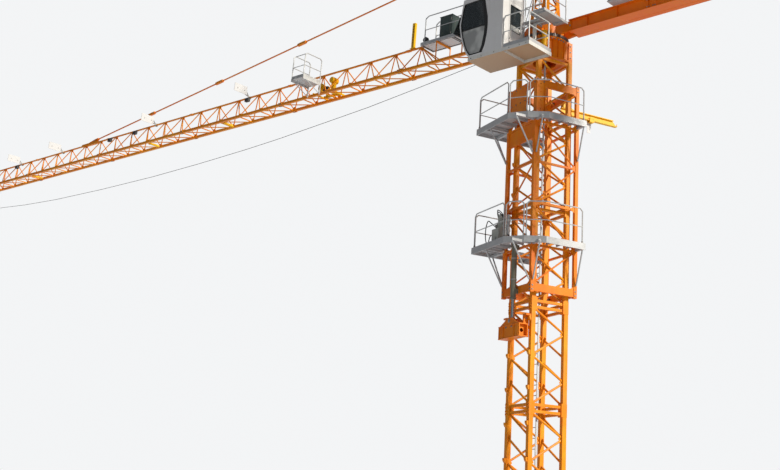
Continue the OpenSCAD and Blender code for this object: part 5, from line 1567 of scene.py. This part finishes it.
    def interior(self) -> None:
        """Makes the seat, its consoles and levers."""
        cx, cy, floor = self.x + 0.36, self.middle, self.floor + 0.02
        seat = self.shape()
        seat.box((cx - 0.11, cy - 0.115, floor + 0.19), (cx + 0.12, cy + 0.115, floor + 0.245))
        seat.slab([(0, 0), (0.052, 0.004), (0.0, 0.36), (-0.045, 0.36)],
                  lambda u, v, d: (cx - 0.16 + u, cy - 0.11 + d, floor + 0.22 + v), 0.22)
        seat.box((cx - 0.185, cy - 0.06, floor + 0.585), (cx - 0.145, cy + 0.06, floor + 0.68))
        seat.piece("driver_seat", SEAT_CLOTH, self.body, 0.016)
        base = self.shape()
        base.rod((cx, cy, floor), (cx, cy, floor + 0.19), 0.045, 20)
        base.box((cx - 0.1, cy - 0.09, floor), (cx + 0.1, cy + 0.09, floor + 0.02))
        for s in SIDES:
            y = cy + s * 0.165
            base.box((cx - 0.08, y - 0.04, floor + 0.27), (cx + 0.17, y + 0.04, floor + 0.33))
            base.box((cx - 0.03, y - 0.03, floor), (cx + 0.06, y + 0.03, floor + 0.27))
            base.rod((cx + 0.12, y, floor + 0.33), (cx + 0.13, y, floor + 0.40), 0.006, 10)
            base.spin([(0.004, 0), (0.014, 0.008), (0.016, 0.02), (0.008, 0.03)],
                      (cx + 0.131, y, floor + 0.395), "Z", 14)
        base.piece("driver_consoles", PLASTIC, self.body, 0.006)

    def door_fittings(self) -> None:
        """Makes the door's handle and lock and the seal of its window."""
        (y, z), metal = self.door_lock, self.shape()
        grip = ((0.001, 0.20), (0.022, 0.205), (0.024, 0.27), (0.024, 0.33), (0.001, 0.335))
        metal.pipe([(self.x - out, y, z + rise) for out, rise in grip], 0.005, 10)
        metal.rod((self.x - 0.0005, y, z + 0.15), (self.x - 0.012, y, z + 0.15), 0.009, 14)
        metal.piece("door_hardware", BOLT_ZINC, Body.DOOR)
        rim = self.shape()
        (a, low), (b, high) = self.door_pane
        corners = ((a, low), (b, low), (b, high), (a, high), (a, low))
        for p, q in zip(corners, corners[1:]):
            rim.rod((self.x - 0.001, *p), (self.x - 0.001, *q), 0.006, 8)
        rim.piece("door_window_seal", SEAL, Body.DOOR)

    def porch(self) -> None:
        """Makes the porch's kick boards, hanger bolts and treads."""
        shape = self.shape()
        x0, z = self.porch_start, self.floor
        for y in (0.482, self.y_out - 0.008):
            shape.box((x0 + 0.03, y, z), (self.x - 0.03, y + 0.006, z + 0.06))
        shape.box((x0 + 0.004, 0.49, z), (x0 + 0.010, self.y_out - 0.01, z + 0.06))
        shape.piece("porch_kick_boards", ZINC, self.body)
        bolts = self.shape()
        for x in (-0.16, 0.30):
            for h in (8.345, 8.375):
                for dx in (-0.014, 0.014):
                    bolts.bolt((x + dx, 0.516, h), (0, 1, 0), 0.008, 0.006)
        for x in (x0 + 0.06, -0.3, -0.1, 0.2, 0.45, 0.66):
            bolts.bolt((x, self.y_out, z - 0.03), (0, 1, 0), 0.007, 0.005)
        bolts.piece("cab_frame_bolts", BOLT_ZINC, self.body)
        tread = self.shape()
        for y in steps(0.50, self.y_out - 0.02, 0.032):
            tread.box((x0 + 0.03, y, z), (self.x - 0.008, y + 0.004, z + 0.005))
        tread.piece("porch_tread", TREAD_ZINC, self.body)


# --- Turntable and tower head -----------------------------------------------------------------


@dataclass
class Head(Assembly):
    """Turntable, tower head, sheaves and the platform beside them."""

    drum: float = 0.33
    ring_bolts: int = 32
    ribs: int = 20
    top: float = 10.36
    foot: float = 0.34
    tip: float = 0.13
    tie_pin: tuple[float, float] = (0.125, 10.4)
    girder_pin: tuple[float, float] = (-0.585, 8.40)
    rungs: int = 12
    levels: tuple[float, ...] = (0.24, 0.5, 0.73, 0.94)
    nodes = {
        "turntable": CAGE_PAINT, "tower_head": JIB_PAINT, "rope_sheaves": RING_STEEL, "head_platform": ZINC,
        "jib_tie": CAGE_PAINT, "counter_ties": CAGE_PAINT,
    }

    def corner(self, t: float, sx: int, sy: int) -> Vector:
        """Middle of a head leg at a share of its height.

        Args:
            t: Share of the height.
            sx: Side in X.
            sy: Side in Y.

        Returns:
            The point.
        """
        half = (self.foot + (self.tip - self.foot) * t) / 2
        return Vector((sx * half, sy * half, LAYOUT.table_top + (self.top - LAYOUT.table_top) * t))

    def far_side(self, t: float) -> Vector:
        """Middle of the far side at a share of the height.

        Args:
            t: Share of the height.

        Returns:
            The point.
        """
        return (self.corner(t, 1, -1) + self.corner(t, -1, -1)) / 2

    def build(self) -> None:
        """Makes bolts, ribs, gussets, the head ladder, pins and platform treads."""
        self.bolts()
        self.drum_ribs()
        self.gussets()
        self.ladder()
        self.pins()
        self.treads()

    def bolts(self) -> None:
        """Makes the turntable's bolts and those of the head's feet."""
        shape = self.shape()
        for x, y in circle(self.ring_bolts, self.drum - 0.03, 0.5):
            if abs(x) <= 0.22 or abs(y) <= 0.19:
                shape.bolt((x, y, LAYOUT.table_top), (0, 0, 1), 0.010)
        out, z = 0.034, LAYOUT.table_top + 0.0163
        for sx, sy in CORNERS:
            foot = self.corner(0, sx, sy)
            for dx, dy in ((sx * out, out), (sx * out, -out), (-sx * out, sy * out)):
                shape.bolt((foot.x + dx, foot.y + dy, z), (0, 0, 1), 0.009, 0.007)
        shape.piece("turntable_bolts", BOLT_ZINC, self.body)

    def drum_ribs(self) -> None:
        """Makes the wedge ribs round the turntable's drum, on its two free sides."""
        shape = self.shape()
        for x, y in circle(self.ribs):
            if abs(y) < 0.62:
                continue
            out, side = Vector((x, y, 0)), Vector((-y, x, 0)) * 0.004
            low = out * self.drum + Vector((0, 0, LAYOUT.table + 0.004))
            high = out * self.drum + Vector((0, 0, LAYOUT.table + 0.12))
            tip = low + out * 0.035
            shape.add([low - side, low + side, tip + side, tip - side, high - side, high + side],
                      [(0, 1, 2, 3), (0, 4, 5, 1), (2, 5, 4, 3), (0, 3, 4), (1, 5, 2)])
        shape.piece("turntable_ribs", CAGE_PAINT, self.body)

    def gussets(self) -> None:
        """Makes gussets where the head's braces meet its legs."""
        shape = self.shape()
        for t in self.levels:
            for k in range(4):
                a, b = self.corner(t, *CORNERS[k]), self.corner(t, *CORNERS[(k + 1) % 4])
                along = (b - a).normalized()
                up = (self.corner(min(t + 0.1, 1), *CORNERS[k]) - a).normalized()
                out = along.cross(up).normalized() * 0.003
                for corner, way in ((a, along), (b, -along)):
                    pts = [corner + way * u + up * v for u, v in
                           ((0, 0.05), (0.07, 0.012), (0.07, -0.012), (0, -0.05))]
                    shape.add([p + out for p in pts] + [p - out for p in pts],
                              [(0, 1, 2, 3), (7, 6, 5, 4), (0, 4, 5, 1), (1, 5, 6, 2), (2, 6, 7, 3),
                               (3, 7, 4, 0)])
        shape.piece("head_gussets", JIB_PAINT, self.body)

    def ladder(self) -> None:
        """Makes the ladder up the far side of the head."""
        shape, off = self.shape(), Vector((0, -0.035, 0))
        for s in SIDES:
            a = self.far_side(0.03) + Vector((s * 0.09, 0, 0)) + off
            b = self.far_side(0.92) + Vector((s * 0.05, 0, 0)) + off
            shape.beam(tuple(a), tuple(b), 0.008, 0.02)
        for i in range(self.rungs):
            share = i / (self.rungs - 1)
            mid = self.far_side(0.06 + 0.85 * share) + off
            reach = Vector((0.09 - 0.04 * share, 0, 0))
            shape.rod(tuple(mid - reach), tuple(mid + reach), 0.006, 10)
        for t in self.levels[:3]:
            mid = self.far_side(t)
            for s in SIDES:
                x = s * (0.09 - 0.04 * t)
                shape.box((x - 0.004, mid.y - 0.04, mid.z - 0.01), (x + 0.004, mid.y, mid.z + 0.01))
        shape.piece("head_ladder", RAIL_ZINC, self.body)

    def pins(self) -> None:
        """Makes pin heads on the jib foot, girders and ties."""
        shape = self.shape()
        (x, z), y = LAYOUT.jib_foot, LAYOUT.jib_width / 2 + 0.056
        gx, gz = self.girder_pin
        for s in SIDES:
            shape.pin_head([(0.012, -0.002), (0.024, 0), (0.024, 0.008), (0.018, 0.012)], (x, s * y, z), s)
            shape.rod((gx, s * 0.108 - 0.032, gz), (gx, s * 0.108 + 0.032, gz), 0.014, 18)
        for x in (self.tie_pin[0], -self.tie_pin[0]):
            shape.rod((x, -0.06, self.tie_pin[1]), (x, 0.06, self.tie_pin[1]), 0.018, 20)
        shape.piece("pin_heads", BOLT_ZINC, self.body)

    def treads(self) -> None:
        """Makes the treads of the platform beside the head."""
        shape = self.shape()
        z = LAYOUT.table_top - 0.032
        for y in steps(0.2, 0.79, 0.033):
            x1 = -0.36 if y < 0.335 else 0.02 if y < 0.54 else -0.31
            shape.box((-0.555, y, z), (x1, y + 0.004, z + 0.005))
        shape.piece("head_treads", TREAD_ZINC, self.body)


# --- Jib --------------------------------------------------------------------------------------


@dataclass
class Jib(Assembly):
    """Jib with its joints, rollers, bare plates, winch, basket and walkway."""

    bare_plates: tuple[tuple[float, float], ...] = (
        (7.08, 0.585), (10.35, 0.54), (14.26, 0.54), (16.24, 0.54))
    boxes: tuple[float, ...] = (7.075, 11.095, 12.115, 16.39)
    couplings: tuple[float, ...] = (0.24, 0.449, 0.646, 0.829)
    rollers: tuple[float, ...] = (7.718, 10.354, 15.368)
    node_count: int = 29
    stop: tuple[float, float] = (2.186, 0.59)
    deck: tuple[float, float, float, float] = (0.30, 2.15, 0.155, 0.4003)
    winch_axis: tuple[float, float] = (4.800, 0.190)
    winch_start: float = -0.069
    basket_corner: Point = (4.670, 0.2093, 0.206)
    cabinet_x: tuple[float, float] = (1.47, 1.75)
    cabinet_z: tuple[float, float] = (0.437, 0.867)
    cabinet_y: tuple[float, float] = (-0.103, 0.125)
    trolley_x: float = 20.0
    hook_axis: tuple[float, float] = (20.4746, 6.9)
    tie_top: Point = (0.125, 0, 10.40)
    tie_reach: float = 12.87
    place = LAYOUT.jib_frame
    nodes = {
        **{f"jib_section_{i}": JIB_PAINT for i in range(1, 7)},
        "jib_tip": JIB_PAINT, "jib_post": YELLOW_PAINT, "root_walkway": ZINC, "jib_cabinet": CABINET_PAINT,
        "trolley_winch": YELLOW_PAINT, "winch_basket": RAIL_ZINC, "trolley": CAGE_PAINT,
        "hook_block": YELLOW_PAINT, "hoist_rope": ROPE,
    }

    def build(self) -> None:
        """Makes joint bolts, node gussets, plates, rollers and the fittings of the machines."""
        self.joint_bolts()
        self.gussets()
        self.plates()
        self.chord_boxes()
        self.rope_rollers()
        self.post()
        self.walkway()
        self.winch()
        self.basket()
        self.cabinet()
        self.trolley()
        self.hook()
        self.tie_fittings()

    @property
    def joints(self) -> list[float]:
        """Places of the joints between the jib's sections."""
        return [LAYOUT.node(0) + LAYOUT.bay / 2 + 5 * LAYOUT.bay * i for i in range(6)]

    def joint_bolts(self) -> None:
        """Makes the bolts and lugs of the section joints."""
        bolts, lugs = self.shape(), self.shape()
        y, depth = LAYOUT.jib_width / 2, LAYOUT.jib_depth
        for x in self.joints:
            for s in SIDES:
                for dx in (-0.032, -0.016, 0.016, 0.032):
                    bolts.bolt((x + dx, s * (y + 0.032), 0), (0, s, 0), 0.007, 0.006)
                    bolts.bolt((x + dx, s * y, -0.032), (0, 0, -1), 0.007, 0.006)
                lugs.box((x + s * 0.001, -0.032, depth - 0.012), (x + s * 0.05, 0.032, depth + 0.012))
            lugs.rod((x, -0.04, depth), (x, 0.04, depth), 0.008, 12)
        bolts.piece("jib_joint_bolts", BOLT_ZINC, self.body)
        lugs.piece("jib_joint_lugs", JIB_PAINT, self.body, 0.002)

    def gussets(self) -> None:
        """Makes the small plates at the nodes of the chords."""
        shape = self.shape()
        y, depth, t = LAYOUT.jib_width / 2, LAYOUT.jib_depth, 0.004
        top = [(-0.055, 0), (-0.02, -0.05), (0.02, -0.05), (0.055, 0)]
        bottom = [(-0.05, 0), (-0.02, 0.045), (0.02, 0.045), (0.05, 0)]
        last = self.joints[-1] + 3 * LAYOUT.bay - 0.05
        for k in range(self.node_count):
            x, low = LAYOUT.node(k), LAYOUT.node(k) + LAYOUT.bay / 2
            for s in SIDES:
                shape.slab(top, lambda u, v, d: (x + u, s * (0.012 - 0.37 * v) + d, depth + v), t)
                if low < last:
                    shape.slab(bottom, lambda u, v, d: (
                        low + u, s * (y - 0.38 * v) - t / 2 + d, 0.022 + v), t)
        shape.piece("jib_gussets", JIB_PAINT, self.body)

    def plates(self) -> None:
        """Makes the bare white plates across the jib and their arms."""
        plates, arms, top = self.shape(), self.shape(), LAYOUT.jib_depth
        for x, z in self.bare_plates:
            plates.slab([(0.10, z - 0.085), (0.42, z - 0.085), (0.42, z + 0.085), (0.10, z + 0.085)],
                        lambda u, v, d: (x - 0.004 + d, u, v), 0.008)
            arm = x + 0.012
            arms.beam((arm, 0.0, top + 0.012), (arm, 0.36, z - 0.02), 0.016, 0.016)
            arms.beam((arm, 0.02, top + 0.006), (arm, 0.14, z + 0.06), 0.012, 0.012)
            for y in (0.16, 0.34):
                arms.bolt((x - 0.004, y, z - 0.01), (-1, 0, 0), 0.008, 0.005)
            arms.ring(0.034, 0.038, -0.012, 0.012, (arm, 0, top), "X", 20, 0.002)
        plates.piece("bare_plates", PLATE_WHITE, self.body, 0.002)
        arms.piece("plate_arms", BOLT_ZINC, self.body)

    def chord_boxes(self) -> None:
        """Makes the dark boxes by the top chord."""
        shape = self.shape()
        for x in self.boxes:
            shape.box((x - 0.055, 0.032, 0.355), (x + 0.055, 0.092, 0.430))
            shape.box((x - 0.048, 0.092, 0.362), (x + 0.048, 0.097, 0.423))
            shape.box((x - 0.010, 0.010, 0.40), (x + 0.010, 0.034, LAYOUT.jib_depth + 0.004))
        shape.piece("chord_boxes", PLASTIC, self.body, 0.003)

    def rope_rollers(self) -> None:
        """Makes the rope rollers between the lower chords."""
        shape, frames = self.shape(), self.shape()
        y = LAYOUT.jib_width / 2
        profile = [(0.012, -0.11), (0.034, -0.108), (0.026, -0.08), (0.026, 0.08), (0.034, 0.108),
                   (0.012, 0.11)]
        for x in self.rollers:
            shape.spin(profile, (x, 0, -0.002), "Y", 20)
            frames.rod((x, -y, -0.002), (x, y, -0.002), 0.008, 10)
            for s in SIDES:
                frames.box((x - 0.02, s * 0.125 - 0.004, -0.03), (x + 0.02, s * 0.125 + 0.004, 0.03))
        shape.piece("rope_rollers", YELLOW_PAINT, self.body)
        frames.piece("roller_frames", YELLOW_PAINT, self.body)

    def post(self) -> None:
        """Makes the dark strip with its holes' rims on the jib post and the stop at the walkway's end."""
        strip = self.shape()
        x, low = LAYOUT.node(0) + 0.215, LAYOUT.jib_depth + 0.04
        for s in SIDES:
            strip.box((x - 0.004, s * 0.0245, low + 0.02), (x + 0.004, s * 0.0275, low + 0.44))
            for i in range(8):
                strip.ring(0.005, 0.010, -0.002, 0.002, (x, s * 0.0275, low + 0.045 + i * 0.053), "Y", 14)
        strip.piece("post_strip", PLASTIC, self.body)
        stop, (x, z) = self.shape(), self.stop
        stop.ring(0.03, 0.052, -0.03, 0.03, (x, 0, z), "Y", 24, 0.004)
        stop.box((x - 0.010, -0.012, LAYOUT.jib_depth + 0.01), (x + 0.010, 0.012, z))
        stop.piece("walkway_stop", PLASTIC, self.body, 0.002)

    def walkway(self) -> None:
        """Makes the pale panels and dark edge strips under the walkway's floor and its treads."""
        panels, edges, tread = self.shape(), self.shape(), self.shape()
        first, last, half, low = self.deck
        pitch, rim = (last - first - 0.016) / 5, 0.024
        for i in range(5):
            x0, x1 = first + i * pitch + 0.018, first + (i + 1) * pitch - 0.002
            panels.box((x0 + 0.026, -half + 0.014, low + 0.006), (x1 - 0.026, half - 0.014, low + 0.014))
            for a, b in (((x0 + rim, -half), (x1 - rim, -half + 0.012)),
                         ((x0 + rim, half - 0.012), (x1 - rim, half)),
                         ((x0, -half), (x0 + rim, half)), ((x1 - rim, -half), (x1, half))):
                edges.box((*a, low + 0.001), (*b, low + 0.020))
        for x in steps(first + 0.02, last - 0.02, 0.035):
            tread.box((x, -half, low + 0.036), (x + 0.004, half, low + 0.041))
        panels.piece("walkway_panels", PLATE_WHITE, self.body)
        edges.piece("walkway_edges", PLASTIC, self.body)
        tread.piece("walkway_treads", TREAD_ZINC, self.body)

    def winch(self) -> None:
        """Makes the trolley winch's rope, motor fins and bearing flanges."""
        (x, z), y = self.winch_axis, self.winch_start
        rope = self.shape()
        rope.coil((x, y, z), 0.138, 0.0594, 0.0035, 19)
        rope.piece("trolley_winch_rope", ROPE, self.body)
        shape = self.shape()
        for i in range(8):
            shape.ring(0.054, 0.062, 0, 0.008, (4.532, y + 0.018 * i, 0.300), "Y", 24)
        for s in SIDES:
            shape.ring(0.02, 0.03, -0.005, 0.005, (x, s * 0.086, z), "Y", 24, 0)
        shape.piece("trolley_winch_fins", YELLOW_PAINT, self.body)

    def basket(self) -> None:
        """Makes the basket's floor mesh and toe boards."""
        x, y, floor = self.basket_corner
        shape, top = self.shape(), floor + 0.05
        for i in range(14):
            bar = y + 0.02 + i * 0.0315
            shape.box((x + 0.01, bar, floor), (x + 0.34, bar + 0.004, floor + 0.005))
        for a, b, c, d in ((0.004, 0.005, 0.008, 0.445), (0.342, 0.005, 0.346, 0.445),
                           (0.008, 0.441, 0.342, 0.445)):
            shape.box((x + a, y + b, floor), (x + c, y + d, top))
        shape.piece("basket_mesh", TREAD_ZINC, self.body)

    def cabinet(self) -> None:
        """Makes the cabinet's door, louvres, roof, hinges and handle."""
        shape = self.shape()
        (x0, x1), (back, y), (z0, z1) = self.cabinet_x, self.cabinet_y, self.cabinet_z
        shape.box((x0 + 0.012, y, z0 + 0.014), (x1 - 0.012, y + 0.006, z1 - 0.014))
        for i in range(6):
            z = z0 + 0.06 + i * 0.018
            shape.box((x0 + 0.06, y + 0.005, z), (x1 - 0.06, y + 0.011, z + 0.007))
        shape.box((x0 - 0.008, back, z1 - 0.004), (x1 + 0.008, y + 0.012, z1 + 0.006))
        shape.piece("cabinet_door", CABINET_PAINT, self.body, 0.0015)
        metal = self.shape()
        for z in (z0 + 0.08, z1 - 0.08):
            metal.rod((x0 + 0.014, y + 0.008, z - 0.02), (x0 + 0.014, y + 0.008, z + 0.02), 0.005, 10)
        metal.rod((x1 - 0.03, y + 0.005, 0.65), (x1 - 0.03, y + 0.016, 0.65), 0.009, 14)
        metal.box((x1 - 0.034, y + 0.013, 0.615), (x1 - 0.026, y + 0.018, 0.655))
        metal.piece("cabinet_handle", BOLT_ZINC, self.body)

    def trolley(self) -> None:
        """Makes the bolts of the trolley's wheels, rollers and side plates."""
        shape = self.shape()
        y = LAYOUT.jib_width / 2 + 0.060
        for e in SIDES:
            for s in SIDES:
                for h, radius, head in ((0.066, 0.013, 0.009), (-0.148, 0.009, 0.007),
                                        (-0.07, 0.007, 0.005), (-0.02, 0.007, 0.005)):
                    shape.bolt((self.trolley_x + e * 0.255, s * y, h), (0, s, 0), radius, head)
        shape.piece("trolley_bolts", BOLT_ZINC, self.body)

    def hook(self) -> None:
        """Makes the hook block's cheek bolts, pin heads and nut."""
        x, z = self.hook_axis
        shape = Shape()
        for s in SIDES:
            for dx, dz in ((-0.09, 0.07), (0.09, 0.07), (-0.09, -0.07), (0.09, -0.07)):
                shape.bolt((x + dx, s * 0.032, z + dz), (0, s, 0), 0.009, 0.007)
            shape.pin_head([(0.012, -0.001), (0.024, 0), (0.024, 0.007), (0.016, 0.012)],
                           (x, s * 0.035, z), s)
        shape.ring(0.02, 0.029, 0, 0.024, (x, 0, z - 0.15), ease=0.002)
        shape.piece("hook_block_bolts", BOLT_ZINC, self.body)

    def tie_fittings(self) -> None:
        """Makes pins and plates on the couplings of the jib's tie."""
        shape, cover = Shape(), Shape()
        a, b = Vector(self.tie_top), LAYOUT.jib_frame @ Vector((self.tie_reach, 0, LAYOUT.jib_depth + 0.064))
        along = (b - a).normalized()
        for share in self.couplings:
            c = a + (b - a) * share
            for k in (-0.08, 0.08):
                p = c + along * k
                shape.rod((p.x, -0.034, p.z), (p.x, 0.034, p.z), 0.010, 12)
            for s in SIDES:
                side = Vector((0, s * 0.024, 0))
                for reach, wide, tall in ((0.12, 0.006, 0.036), (0.07, 0.005, 0.050)):
                    cover.beam(tuple(c - along * reach + side), tuple(c + along * reach + side), wide, tall)
        cover.piece("tie_cheeks", JIB_PAINT, self.body, 0.001)
        shape.rod((b.x, -0.032, b.z), (b.x, 0.032, b.z), 0.017)
        shape.piece("tie_pins", BOLT_ZINC, self.body)


# --- Counter-jib ------------------------------------------------------------------------------


@dataclass
class CounterJib(Assembly):
    """Counter-jib girders with deck, hoist winch and ballast."""

    start: float = -0.56
    splices: tuple[float, float] = (-2.05, -3.75)
    web: float = 0.113
    deck: tuple[float, float] = (-1.42, -5.46)
    winch_gap: tuple[float, float] = (-3.62, -2.98)
    drum: Point = (-3.3, 0.0, 8.7073)
    motor: Point = (-3.525, -0.14, 8.6273)
    slabs: int = 4
    nodes = {
        "counter_jib": GIRDER_PAINT, "counter_deck": RAIL_ZINC, "counterweights": CONCRETE,
        "hoist_winch": BLUE_GREY,
    }

    def build(self) -> None:
        """Makes stiffeners, splice bolts, treads, winch fittings and ballast loops."""
        self.girders()
        self.treads()
        self.winch()
        self.ballast()

    def girders(self) -> None:
        """Makes the girders' stiffeners and splice plates with their bolts."""
        stiff, bolts, web = self.shape(), self.shape(), self.web
        low, high = LAYOUT.girder_low + 0.014, LAYOUT.girder_high - 0.014
        for s in SIDES:
            for i in range(9):
                x = self.start - 0.35 - 0.55 * i
                stiff.box((x - 0.003, s * web, low), (x + 0.003, s * 0.148, high))
            for x in self.splices:
                stiff.box((x - 0.09, s * web, low + 0.008), (x + 0.09, s * 0.119, high - 0.008))
                for dx in (-0.07, -0.035, 0.035, 0.07):
                    for z in (low + 0.03, high - 0.03):
                        bolts.bolt((x + dx, s * 0.119, z), (0, s, 0), 0.008, 0.006)
        stiff.piece("girder_stiffeners", GIRDER_PAINT, self.body)
        bolts.piece("girder_bolts", BOLT_ZINC, self.body)

    def treads(self) -> None:
        """Makes the deck's cross bars and kick boards."""
        shape, z = self.shape(), LAYOUT.girder_high + 0.0163
        first, last = self.deck
        for place in steps(-first, 4.65, 0.036):
            if not self.winch_gap[0] < -place < self.winch_gap[1]:
                shape.box((-place - 0.0025, -0.32, z), (-place + 0.0025, 0.32, z + 0.005))
        for s in SIDES:
            shape.box((last, s * 0.322, z), (first, s * 0.328, z + 0.06))
        shape.piece("counter_treads", TREAD_ZINC, self.body)

    def winch(self) -> None:
        """Makes the hoist rope on its drum, motor fins and gear case bolts."""
        x, y, z = self.drum
        rope = self.shape()
        rope.coil((x, y - 0.115, z), 0.23, 0.0993, 0.0042, 27)
        rope.piece("hoist_drum_rope", ROPE, self.body)
        shape, (mx, my, mz) = self.shape(), self.motor
        for i in range(12):
            shape.ring(0.072, 0.082, 0, 0.009, (mx, my + i * 0.022, mz), "Y", 28)
        for s in SIDES:
            shape.ring(0.04, 0.055, -0.01, 0.01, (x, s * 0.19, z), "Y", 24, 0)
        shape.piece("winch_fins", BLUE_GREY, self.body)
        bolts = self.shape()
        for s in SIDES:
            for dx in (-0.27, -0.12, 0.12, 0.27):
                bolts.bolt((x + dx, s * 0.18, LAYOUT.girder_high + 0.057), (0, 0, 1), 0.010)
            for u, v in circle(8, 0.06):
                bolts.bolt((x + u, s * 0.185, z + v), (0, s, 0), 0.006, 0.005)
        bolts.piece("winch_bolts", BOLT_ZINC, self.body)

    def ballast(self) -> None:
        """Makes the lifting loops of the ballast slabs."""
        shape = self.shape()
        top, half, rise = LAYOUT.girder_high + 0.0703, 0.022, 0.03
        bend = [(-half * math.cos(a), rise + half * math.sin(a)) for a in (0.5, 1.0, 1.57, 2.1, 2.6)]
        loop = [(-half, -0.002), (-half, rise), *bend, (half, rise), (half, -0.002)]
        for i in range(self.slabs):
            x = -5.357 + i * 0.152
            for s in SIDES:
                shape.pipe([(x, s * 0.09 + u, top + v) for u, v in loop], 0.006, 8)
        shape.piece("ballast_loops", BOLT_ZINC, self.body)


# --- Studio -----------------------------------------------------------------------------------


@dataclass
class Studio:
    """Plain pale floor, soft lamps and the camera at the photograph's angle."""

    place: Point = (-9.7391, 13.2363, 0.7998)
    turn: Point = (108.5391, -2.7698, -139.8313)
    lens: float = 50.718
    shift: tuple[float, float] = (-0.084, -0.1021)
    floor: float = 70.0
    backdrop: Colour = (0.90, 0.91, 0.92)

    def build(self) -> None:
        """Makes the floor, the lamps, the world and the camera."""
        self.ground()
        self.world()
        self.sun((-0.88, -0.10, 0.54), 4.2, 10.0, (1.0, 0.94, 0.82))
        self.lamp("fill_light", (-16.0, 20.0, 9.0), 16.0, 150, (0.92, 0.96, 1.0))
        self.lamp("rim_light", (24.0, -8.0, 22.0), 12.0, 1000, (1.0, 0.97, 0.92))
        self.camera()

    def ground(self) -> None:
        """Makes the floor, which looks as pale as the backdrop and keeps the shadow."""
        half = self.floor
        mesh = bpy.data.meshes.new("studio_floor")
        corners = [(x * half, y * half, 0) for x, y in ((-1, -1), (1, -1), (1, 1), (-1, 1))]
        mesh.from_pydata(corners, [], [(0, 1, 2, 3)])
        floor = bpy.data.objects.new("studio_floor", mesh)
        bpy.context.scene.collection.objects.link(floor)
        graph = Graph("studio_floor")
        speck = graph.noise(2, 3)
        graph.surface(graph.blend(speck, (0.74, 0.77, 0.84), (0.77, 0.80, 0.87)), 0.8)
        mesh.materials.append(graph.material)

    def world(self) -> None:
        """Makes an even soft world, pale where the camera sees it."""
        world = bpy.data.worlds.new("studio_world")
        bpy.context.scene.world = world
        world.use_nodes = True
        tree = world.node_tree
        tree.nodes.clear()
        out = tree.nodes.new("ShaderNodeOutputWorld")
        mix = tree.nodes.new("ShaderNodeMixShader")
        rays = tree.nodes.new("ShaderNodeLightPath")
        light, seen = tree.nodes.new("ShaderNodeBackground"), tree.nodes.new("ShaderNodeBackground")
        light.inputs["Color"].default_value = (0.86, 0.92, 1.0, 1)
        light.inputs["Strength"].default_value = 0.15
        seen.inputs["Color"].default_value = (*self.backdrop, 1)
        seen.inputs["Strength"].default_value = 1.0
        tree.links.new(rays.outputs["Is Camera Ray"], mix.inputs[0])
        tree.links.new(light.outputs[0], mix.inputs[1])
        tree.links.new(seen.outputs[0], mix.inputs[2])
        tree.links.new(mix.outputs[0], out.inputs["Surface"])

    def lamp(self, name: str, place: Point, size: float, power: float, colour: Colour) -> None:
        """Adds a soft lamp aimed at the cage.

        Args:
            name: Name of the lamp.
            place: Where it stands.
            size: Side of the square lamp.
            power: Power in watts.
            colour: Colour of its light.
        """
        data = bpy.data.lights.new(name, "AREA")
        data.size, data.energy, data.color = size, power, colour
        lamp = bpy.data.objects.new(name, data)
        lamp.location = place
        aim = Vector((0, 0, 7)) - Vector(place)
        lamp.rotation_euler = aim.to_track_quat("-Z", "Y").to_euler()
        bpy.context.scene.collection.objects.link(lamp)

    def sun(self, source: Point, strength: float, spread: float, colour: Colour) -> None:
        """Adds the wide, even main light.

        Args:
            source: Direction from the crane towards the light.
            strength: Strength in watts per square metre.
            spread: Angle that the light seems to fill, in degrees.
            colour: Colour of its light.
        """
        data = bpy.data.lights.new("key_light", "SUN")
        data.energy, data.angle, data.color = strength, math.radians(spread), colour
        sun = bpy.data.objects.new("key_light", data)
        sun.location = Vector(source) * 30
        sun.rotation_euler = (-Vector(source)).to_track_quat("-Z", "Y").to_euler()
        bpy.context.scene.collection.objects.link(sun)

    def camera(self) -> None:
        """Makes the camera."""
        data = bpy.data.cameras.new("photo_camera")
        data.lens, data.sensor_width = self.lens, 36.0
        data.shift_x, data.shift_y = self.shift
        data.clip_end = 300
        camera = bpy.data.objects.new("photo_camera", data)
        camera.location = self.place
        camera.rotation_euler = [math.radians(a) for a in self.turn]
        bpy.context.scene.collection.objects.link(camera)
        bpy.context.scene.camera = camera
        bpy.context.scene.view_settings.view_transform = "Standard"


def main() -> None:
    """Builds and dresses the crane in order."""
    logging.basicConfig(level=logging.INFO, format="%(message)s")
    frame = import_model()
    Studio().build()
    lower, upper = LAYOUT.decks
    parts = [Mast(), SlewingSupport(), Climber(), Cage(), Platform("lower", lower), Platform("upper", upper),
             PowerPack(), Cab(), Head(), Jib(), CounterJib()]
    for part in parts:
        part.dress(frame)
        part.build()
        LOG.info("built %s", type(part).__name__)


if __name__ == "__main__":
    main()
